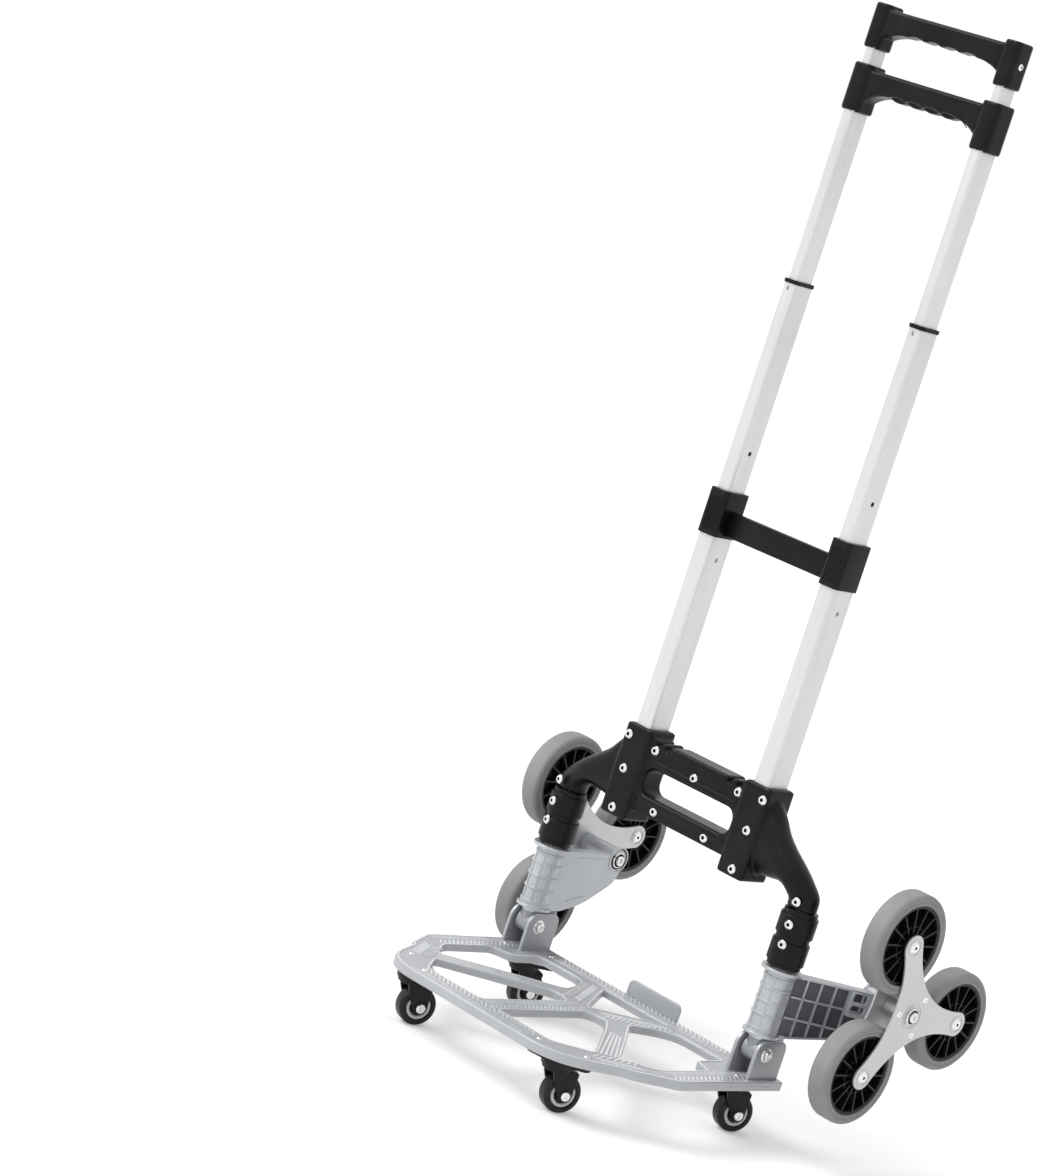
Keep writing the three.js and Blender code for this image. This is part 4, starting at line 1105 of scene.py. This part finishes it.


# a thin dark sheet on the outer face of an arm, inside its edge: painted shade
def paintedShadeSheetMesh(side, sign):
    low, high = outwards(sign, 0, 0.25, arm["wall"] / 2)
    return slab(armFace(armRun(side)[0], -2.2), [], low, high, 0.08, armFrame(side, sign) @ facingX(), 1)


def armReliefMesh(side, sign):
    length, top = armRun(side)[0], arm["high"] - 8
    ring = ringOutline(length, arm["hub"], 13.6, 40)
    lines = [[(30, top), (length - 22, top)], [(30, 121), (length - 36, 127)]]
    face = armFrame(side, sign) @ facingX(-sign * arm["wall"] / 2)
    return joined(raisedLines([ring], 1.4, 1.2, True, face), raisedLines(lines, 1.4, 1.2, place=face))


for side, sign in sides:
    body = f"arm_{side}"
    makePiece(f"wheelArm.{side}", armMesh(side, sign), "cast", body, [f"wheel_arm_{side}"])
    makePiece(f"armRelief.{side}", armReliefMesh(side, sign), "cast", body)
    # the dark sheet on the arm's outer face is painted shade
    makePiece(f"armPaintedShade.{side}", paintedShadeSheetMesh(side, sign), "paintedArmShade", body)
print("wheel arms made")


# stars and wheels

def aroundHub(radius, angle):
    return hubY + radius * cos(angle), arm["hub"] + radius * sin(angle)


def starAngles(side):
    return [radians(star["turn"][side] + 120 * k) for k in range(3)]


def wheelPlaces(side):
    return [aroundHub(star["radius"], angle) for angle in starAngles(side)]


def starOutline(side):
    reach, ends = star["end"], []
    angles = starAngles(side)
    for angle, (y, z) in zip(angles, wheelPlaces(side)):
        ends.append(arc(y, z, reach, angle - pi / 2, pi, 16))
    points = []
    for k, angle in enumerate(angles):
        waist = aroundHub(star["waist"], angle + pi / 3)
        points += [*ends[k], *curveThrough(ends[k][-1], waist, ends[(k + 1) % 3][0], 22)[:-1]]
    return points


def starPlateMesh(side, sign, near, raised):
    low, high = outwards(sign, near, near + star["plate"])
    face = sign * (legX + near + (star["plate"] if raised else 0))
    rings = [ringOutline(hubY, arm["hub"], radius, 48) for radius in (10.6, 13.2)]
    rings += [ringOutline(y, z, 8.8, 32) for y, z in wheelPlaces(side)]
    hole = ringOutline(hubY, arm["hub"], arm["bore"])
    return joined(slab(starOutline(side), [hole], low, high, 0.55, facingX(), 3),
                  raisedLines(rings, 0.9, 1.0, True, facingX(face)))


def starMesh(side, sign, near):
    far = near + star["pitch"]
    low, high = outwards(sign, near + star["plate"] + 0.3, far - 1)
    return joined(starPlateMesh(side, sign, far - star["plate"], True),
                  pipe(arm["bore"], arm["boss"], low, high, 48, at(0, hubY, arm["hub"]) @ facingX()))


def wheelAxleMesh(side, sign, near):
    low, high = outwards(sign, near - 0.3, near + star["pitch"])
    return joined(*(pipe(0, 4, low, high, 32, at(0, y, z) @ facingX()) for y, z in wheelPlaces(side)))


wheel = {
    "radius": 53.1, "width": 24, "hubRadius": 42, "boss": 11, "bore": 4.3, "web": 1.6, "shoulder": 5.5,
    "fins": {"Count": 14, "Thickness": 1.7, "Width": 20.5, "Inner": 10, "Outer": 39.6},
}


def hubMesh(place):
    half, rim = wheel["width"] / 2, wheel["hubRadius"]
    boss, bore, web = wheel["boss"], wheel["bore"], wheel["web"]
    profile = bothEnds([(bore, -half), (boss - 1, -half), (boss, 1 - half), (boss, -web), (rim - 3.2, -web),
                        (rim - 3.2, 2.4 - half), (rim - 2.6, 1.5 - half), (rim, 1.5 - half)])
    blades = treeMesh("fins", bpy.data.meshes.new("none"), {
        **wheel["fins"], "Material": finishes["hub"]}, place)
    return joined(lathe(profile, 72, place), blades, pipe(19, 20.2, 3.2 - half, half - 3.2, 56, place))


# the rounded shoulder of a tyre
def rounded(outer, half, soft):
    return arc(outer - soft, soft - half, soft, -pi / 2, pi / 2, 8)


def tyreMesh(place):
    half, inner = wheel["width"] / 2, wheel["hubRadius"] + 0.3
    profile = [(inner, 0.8 - half), (inner + 1.2, 0.2 - half), (inner + 3.4, 0.1 - half),
               (inner + 3.9, 0.6 - half), (inner + 4.4, 0.1 - half),
               *rounded(wheel["radius"], half, wheel["shoulder"])]
    return lathe(bothEnds(profile), 96, place)


for side, sign in sides:
    near = arm["starOffset"][side]
    body, places = f"star_{side}", wheelPlaces(side)
    makePiece(f"starOuter.{side}", starMesh(side, sign, near), "star", body,
              [f"star_outer_{side}"])
    makePiece(f"starInner.{side}", starPlateMesh(side, sign, near, False), "star", body,
              [f"star_inner_{side}"])
    makePiece(f"starAxles.{side}", wheelAxleMesh(side, sign, near), "bolt", body)
    outFace, inFace = sign * (legX + near + star["pitch"]), sign * (legX + near - 0.3)
    addScrews(f"axleHeads.{side}", body,
              [((x, y, z), (way, 0, 0)) for y, z in places for x, way in ((outFace, sign), (inFace, -sign))],
              star["head"])
    addScrews(f"starRivets.{side}", body,
              [((outFace - sign * 0.2, *aroundHub(star["rivetRadius"], angle + pi / 3)), (sign, 0, 0))
               for angle in starAngles(side)], star["rivet"])
    for k, (y, z) in enumerate(places, 1):
        name, body = f"{side}_{k}", f"wheel_{side}_{k}"
        place = at(sign * (legX + near + star["pitch"] / 2), y, z) @ facingX()
        makePiece(f"wheelHub.{name}", hubMesh(place), "hub", body, [f"wheel_hub_{name}"])
        makePiece(f"wheelTyre.{name}", tyreMesh(place), "tyre", body,
                  [f"wheel_tyre_{name}"], 40)
print("stars and wheels made")


# bolts

hingeBolt = {"radius": 4, "washer": 7.5, "head": 5.4, "headHeight": 4.5, "nutHeight": 5, "nut": 7}
hubBolt = {"radius": 5, "washer": 9, "head": 5.8, "headHeight": 3.6}


def ringedHead(radius, height, socket, low, place):
    floor, top = low + height * 0.45, low + height
    return lathe([(socket, floor), (socket, top - 0.3), (socket + 0.4, top), (radius - 1.2, top),
                  (radius - 0.3, top - 0.6), (radius, low + height * 0.4), (radius, low), (socket * 0.2, low),
                  (socket * 0.2, floor)], 48, place)


def hingeBoltMesh(sign):
    reach = leg["radius"] + 0.6 + plate["ear"]["thickness"]
    end = reach + hingeBolt["nutHeight"]
    place = at(sign * legX, legY, leg["hinge"]) @ facingX()
    corner = hingeBolt["nut"]
    nut = lathe([(4.2, end), (5.8, end), (corner, end - 0.7), (corner, reach), (4.2, reach)], 6, place @ flip)
    return joined(pipe(0, hingeBolt["radius"], -reach - 2, reach + 1, 40, place), nut,
                  ringedHead(hingeBolt["head"], hingeBolt["headHeight"], 2.6, reach, place),
                  ringedHead(hingeBolt["washer"], 1.0, 5.6, reach, place))


# how far in and out a hub bolt reaches, and where its two heads sit
def hubBoltEnds(side, sign):
    place = at(sign * legX, hubY, arm["hub"]) @ facingX() @ (Matrix() if sign > 0 else flip)
    near, far = arm["place"][side]["boss"], arm["starOffset"][side] + star["pitch"]
    return near, far, [(far + 0.3, place), (0.3 - near, place @ flip)]


def hubBoltParts(side, sign):
    near, far, ends = hubBoltEnds(side, sign)
    yield pipe(0, hubBolt["radius"], near - 1, far + 1, 40, ends[0][1])
    for start, way in ends:
        yield ringedHead(hubBolt["washer"], 1.5, 7.6, start, way)
        yield ringedHead(hubBolt["head"], hubBolt["headHeight"], 2.9, start, way)


def hubSealMesh(side, sign):
    return joined(*(pipe(5.4, 7.8, start, start + 1, 48, way) for start, way in hubBoltEnds(side, sign)[2]))


for side, sign in sides:
    body = f"arm_{side}"
    makePiece(f"hingeBolt.{side}", hingeBoltMesh(sign), "bolt", "frame",
              [f"hinge_bolt_{side}"])
    makePiece(f"hubBolt.{side}", joined(*hubBoltParts(side, sign)), "bolt", body,
              [f"hub_bolt_{side}"])
    makePiece(f"hubSeal.{side}", hubSealMesh(side, sign), "nylon", body)


# casters

caster = {
    "turn": -20, "trail": 12, "radius": 20, "width": 17, "forkWall": 3, "top": 45, "crown": 3, "endRadius": 7,
    "raceway": 17, "mount": 3.5, "bore": 3.3, "ringOuter": 13.2, "ringInner": 9.6, "boltReach": 25,
    "tyreRounding": 4.2, "stemTop": 52.6, "cupFloor": 45.4, "underMount": 51.4, "onPlate": 63.9,
    "bolt": {"Radius": 4.6, "Height": 1.8, "Socket": 1.9},
    "rivet": {"Radius": 3.2, "Height": 1.1, "Socket": 1.1},
}
trail, axleHeight, halfWidth = caster["trail"], caster["radius"], caster["width"] / 2


def boltSpots(x, y, degrees):
    turn = radians(degrees)
    return [(x + reach * cos(turn), y + reach * sin(turn))
            for reach in (-caster["boltReach"], caster["boltReach"])]


def mountMesh(x, y, degrees):
    top, r = plate["top"] - plate["thickness"] - plate["deep"] - 0.3, caster["raceway"]
    low, floor = top - caster["mount"], caster["cupFloor"]
    holes = [ringOutline(*spot, 2.6, 16) for spot in boltSpots(x, y, degrees)]
    cup = lathe([(3.9, floor), (r - 1, floor), (r, floor + 0.8), (r + 0.5, low - 1.5), (r + 1, low - 0.4),
                 (r + 1, low + 1), (3.9, low + 1)], 48, at(x, y, 0))
    return joined(slab(lozenge(x, y, degrees), holes, low, top, 0.6, rounds=3), cup)


def forkSide():
    top, end = (-9, caster["top"] - 1), caster["endRadius"]
    points = [top, (trail + 8, top[1]), (trail + end, axleHeight)]
    points += arc(trail, axleHeight, end, 0, -0.75 * pi, 14)[1:]
    return [*points, *curveThrough(points[-1], (-4, axleHeight + 8), top)[:-1]]


def forkParts():
    inner, top = halfWidth + 1, caster["top"]
    outer = inner + caster["forkWall"]
    crown = softOutline([(-outer, -11, 6), (outer, -11, 6), (outer, trail + 8, 6), (-outer, trail + 8, 6)], 6)
    yield slab(crown, [], top - caster["crown"], top, 0.8)
    yield lathe([(0, top - 3), (14.2, top - 3), (15, top - 2.2), (15, top), (0, top)], 48)
    yield pipe(0, 3.5, top - 1, caster["stemTop"], 24)
    for way in (-1, 1):
        low, high = sorted((way * inner, way * outer))
        hole = ringOutline(trail, axleHeight, caster["bore"])
        yield slab(forkSide(), [hole], low, high, 0.9, facingX(), 3)
        yield pipe(3.4, 6.4, -0.4, 0.6, 32, at(way * outer, trail, axleHeight) @ facingX())


def casterTyreMesh(place):
    ring = caster["ringOuter"]
    profile = [(ring, 1.2 - halfWidth), (ring + 1, -halfWidth),
               *rounded(caster["radius"], halfWidth, caster["tyreRounding"])]
    return lathe(bothEnds(profile), 72, place)


def casterRingMesh(place):
    inner, outer = caster["ringInner"], caster["ringOuter"]
    profile = [(inner, 1.8 - halfWidth), (inner + 0.6, 1 - halfWidth), (outer - 0.4, 1 - halfWidth),
               (outer + 0.2, 1.8 - halfWidth)]
    return lathe(bothEnds(profile), 64, place)


def casterCoreMesh(place):
    profile = [(caster["bore"], -halfWidth), (5.6, -halfWidth), (6.2, 0.6 - halfWidth), (6.4, 3 - halfWidth),
               (caster["ringInner"] + 0.3, 3 - halfWidth)]
    return lathe(bothEnds(profile), 56, place)


def casterAxleMesh(place):
    end = halfWidth + 4.3
    return joined(pipe(0, 3, -end - 0.2, end + 0.2, 40, place), ringedHead(5, 1.8, 1.6, end, place),
                  ringedHead(5, 1.8, 1.6, end, place @ flip))


for name, mountX, y, angle in mounts:
    for side, sign in sides:
        key, x, degrees = f"{name}_{side}", sign * mountX, sign * angle
        makePiece(f"casterMount.{key}", mountMesh(x, y, degrees), "steel", "folding_plate",
                  [f"caster_mount_{key}"])
        swivel = at(x, y, 0) @ turned(caster["turn"])
        axle = swivel @ at(0, trail, axleHeight) @ facingX()
        body, roller = f"caster_{key}", f"caster_roller_{key}"
        makePiece(f"casterFork.{key}", placed(joined(*forkParts()), swivel), "steel", body,
                  [f"caster_fork_{key}"])
        makePiece(f"casterAxle.{key}", casterAxleMesh(axle), "bolt", body,
                  [f"caster_axle_{key}"])
        makePiece(f"casterTyre.{key}", casterTyreMesh(axle), "tread", roller,
                  [f"caster_wheel_{key}"], 40)
        makePiece(f"casterRing.{key}", casterRingMesh(axle), "ring", roller)
        makePiece(f"casterCore.{key}", casterCoreMesh(axle), "tread", roller)
        for label, z, way, size in (("mountBolts", caster["underMount"], -1, caster["bolt"]),
                                    ("plateRivets", caster["onPlate"], 1, caster["rivet"])):
            addScrews(f"{label}.{key}", "folding_plate",
                      [((*place, z), (0, 0, way)) for place in boltSpots(x, y, degrees)], size)
print("casters made")

# the two tube caps keep the shape they have in the frame
for side, sign in sides:
    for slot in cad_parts[f"middle_cap_{side}"].material_slots:
        slot.material = finishes["nylon"]


# studio

studio = {"floor": 0.86, "floorGlow": 0.27, "shade": 0.30, "light": 0.86, "from": (-0.45, -0.5, 0.74),
          "sun": 1.5, "sunSpread": 32, "reach": 60}


def floorMaterial():
    material = bpy.data.materials.new("studioFloor")
    material.use_nodes = True
    material.node_tree.nodes.clear()
    graph = Graph(material.node_tree)
    cloud = graph.limit(graph.grain(graph.add("ShaderNodeTexCoord", output=3), 3), 0.3, 0.7)
    colour = graph.blend(cloud, gray(studio["floor"]), gray(studio["floor"] + 0.01))
    matte = graph.add("ShaderNodeBsdfDiffuse", {"Color": colour})
    strength = graph.seen("Camera", "Glossy") * studio["floorGlow"]
    glow = graph.add("ShaderNodeEmission", {"Color": gray(1), "Strength": strength})
    both = graph.add("ShaderNodeAddShader", {0: matte, 1: glow})
    graph.feed(graph.tree.nodes.new("ShaderNodeOutputMaterial").inputs["Surface"], both)
    return material


def makeStudio():
    scene = bpy.context.scene
    scene.view_settings.view_transform = "Standard"
    scene.world = bpy.data.worlds.new("studioWorld")
    scene.world.use_nodes = True
    graph = Graph(scene.world.node_tree)
    background = graph.tree.nodes["Background"]
    seen = graph.seen("Camera", "Glossy", "Transmission")
    way = graph.add("ShaderNodeTexCoord")
    toward = graph.add("ShaderNodeVectorMath", {0: way, 1: studio["from"]}, {"operation": "DOT_PRODUCT"}, 1)
    # white where it is seen or mirrored, elsewhere light that fades from one side to the other
    soft = graph.limit(toward, -1, 1, studio["shade"], studio["light"])
    background.inputs["Color"].default_value = gray(1)
    graph.feed(background.inputs["Strength"], soft + seen * (1 - soft))
    sun = bpy.data.lights.new("keyLight", "SUN")
    sun.energy = studio["sun"]
    sun.angle = radians(studio["sunSpread"])
    lamp = addObject("keyLight", sun)
    lamp.rotation_euler = (-Vector(studio["from"])).to_track_quat("-Z", "Y").to_euler()
    reach = studio["reach"]
    floor = bpy.data.meshes.new("studioFloor")
    floor.from_pydata([(-reach, -reach, 0), (reach, -reach, 0), (reach, reach, 0), (-reach, reach, 0)], [],
                      [(0, 1, 2, 3)])
    floor.materials.append(floorMaterial())
    addObject("studioFloor", floor)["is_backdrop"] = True


makeStudio()
print("studio made")

low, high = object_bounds()
{"cad": [list(cadLow), list(cadHigh)], "visual": [list(low), list(high)]}
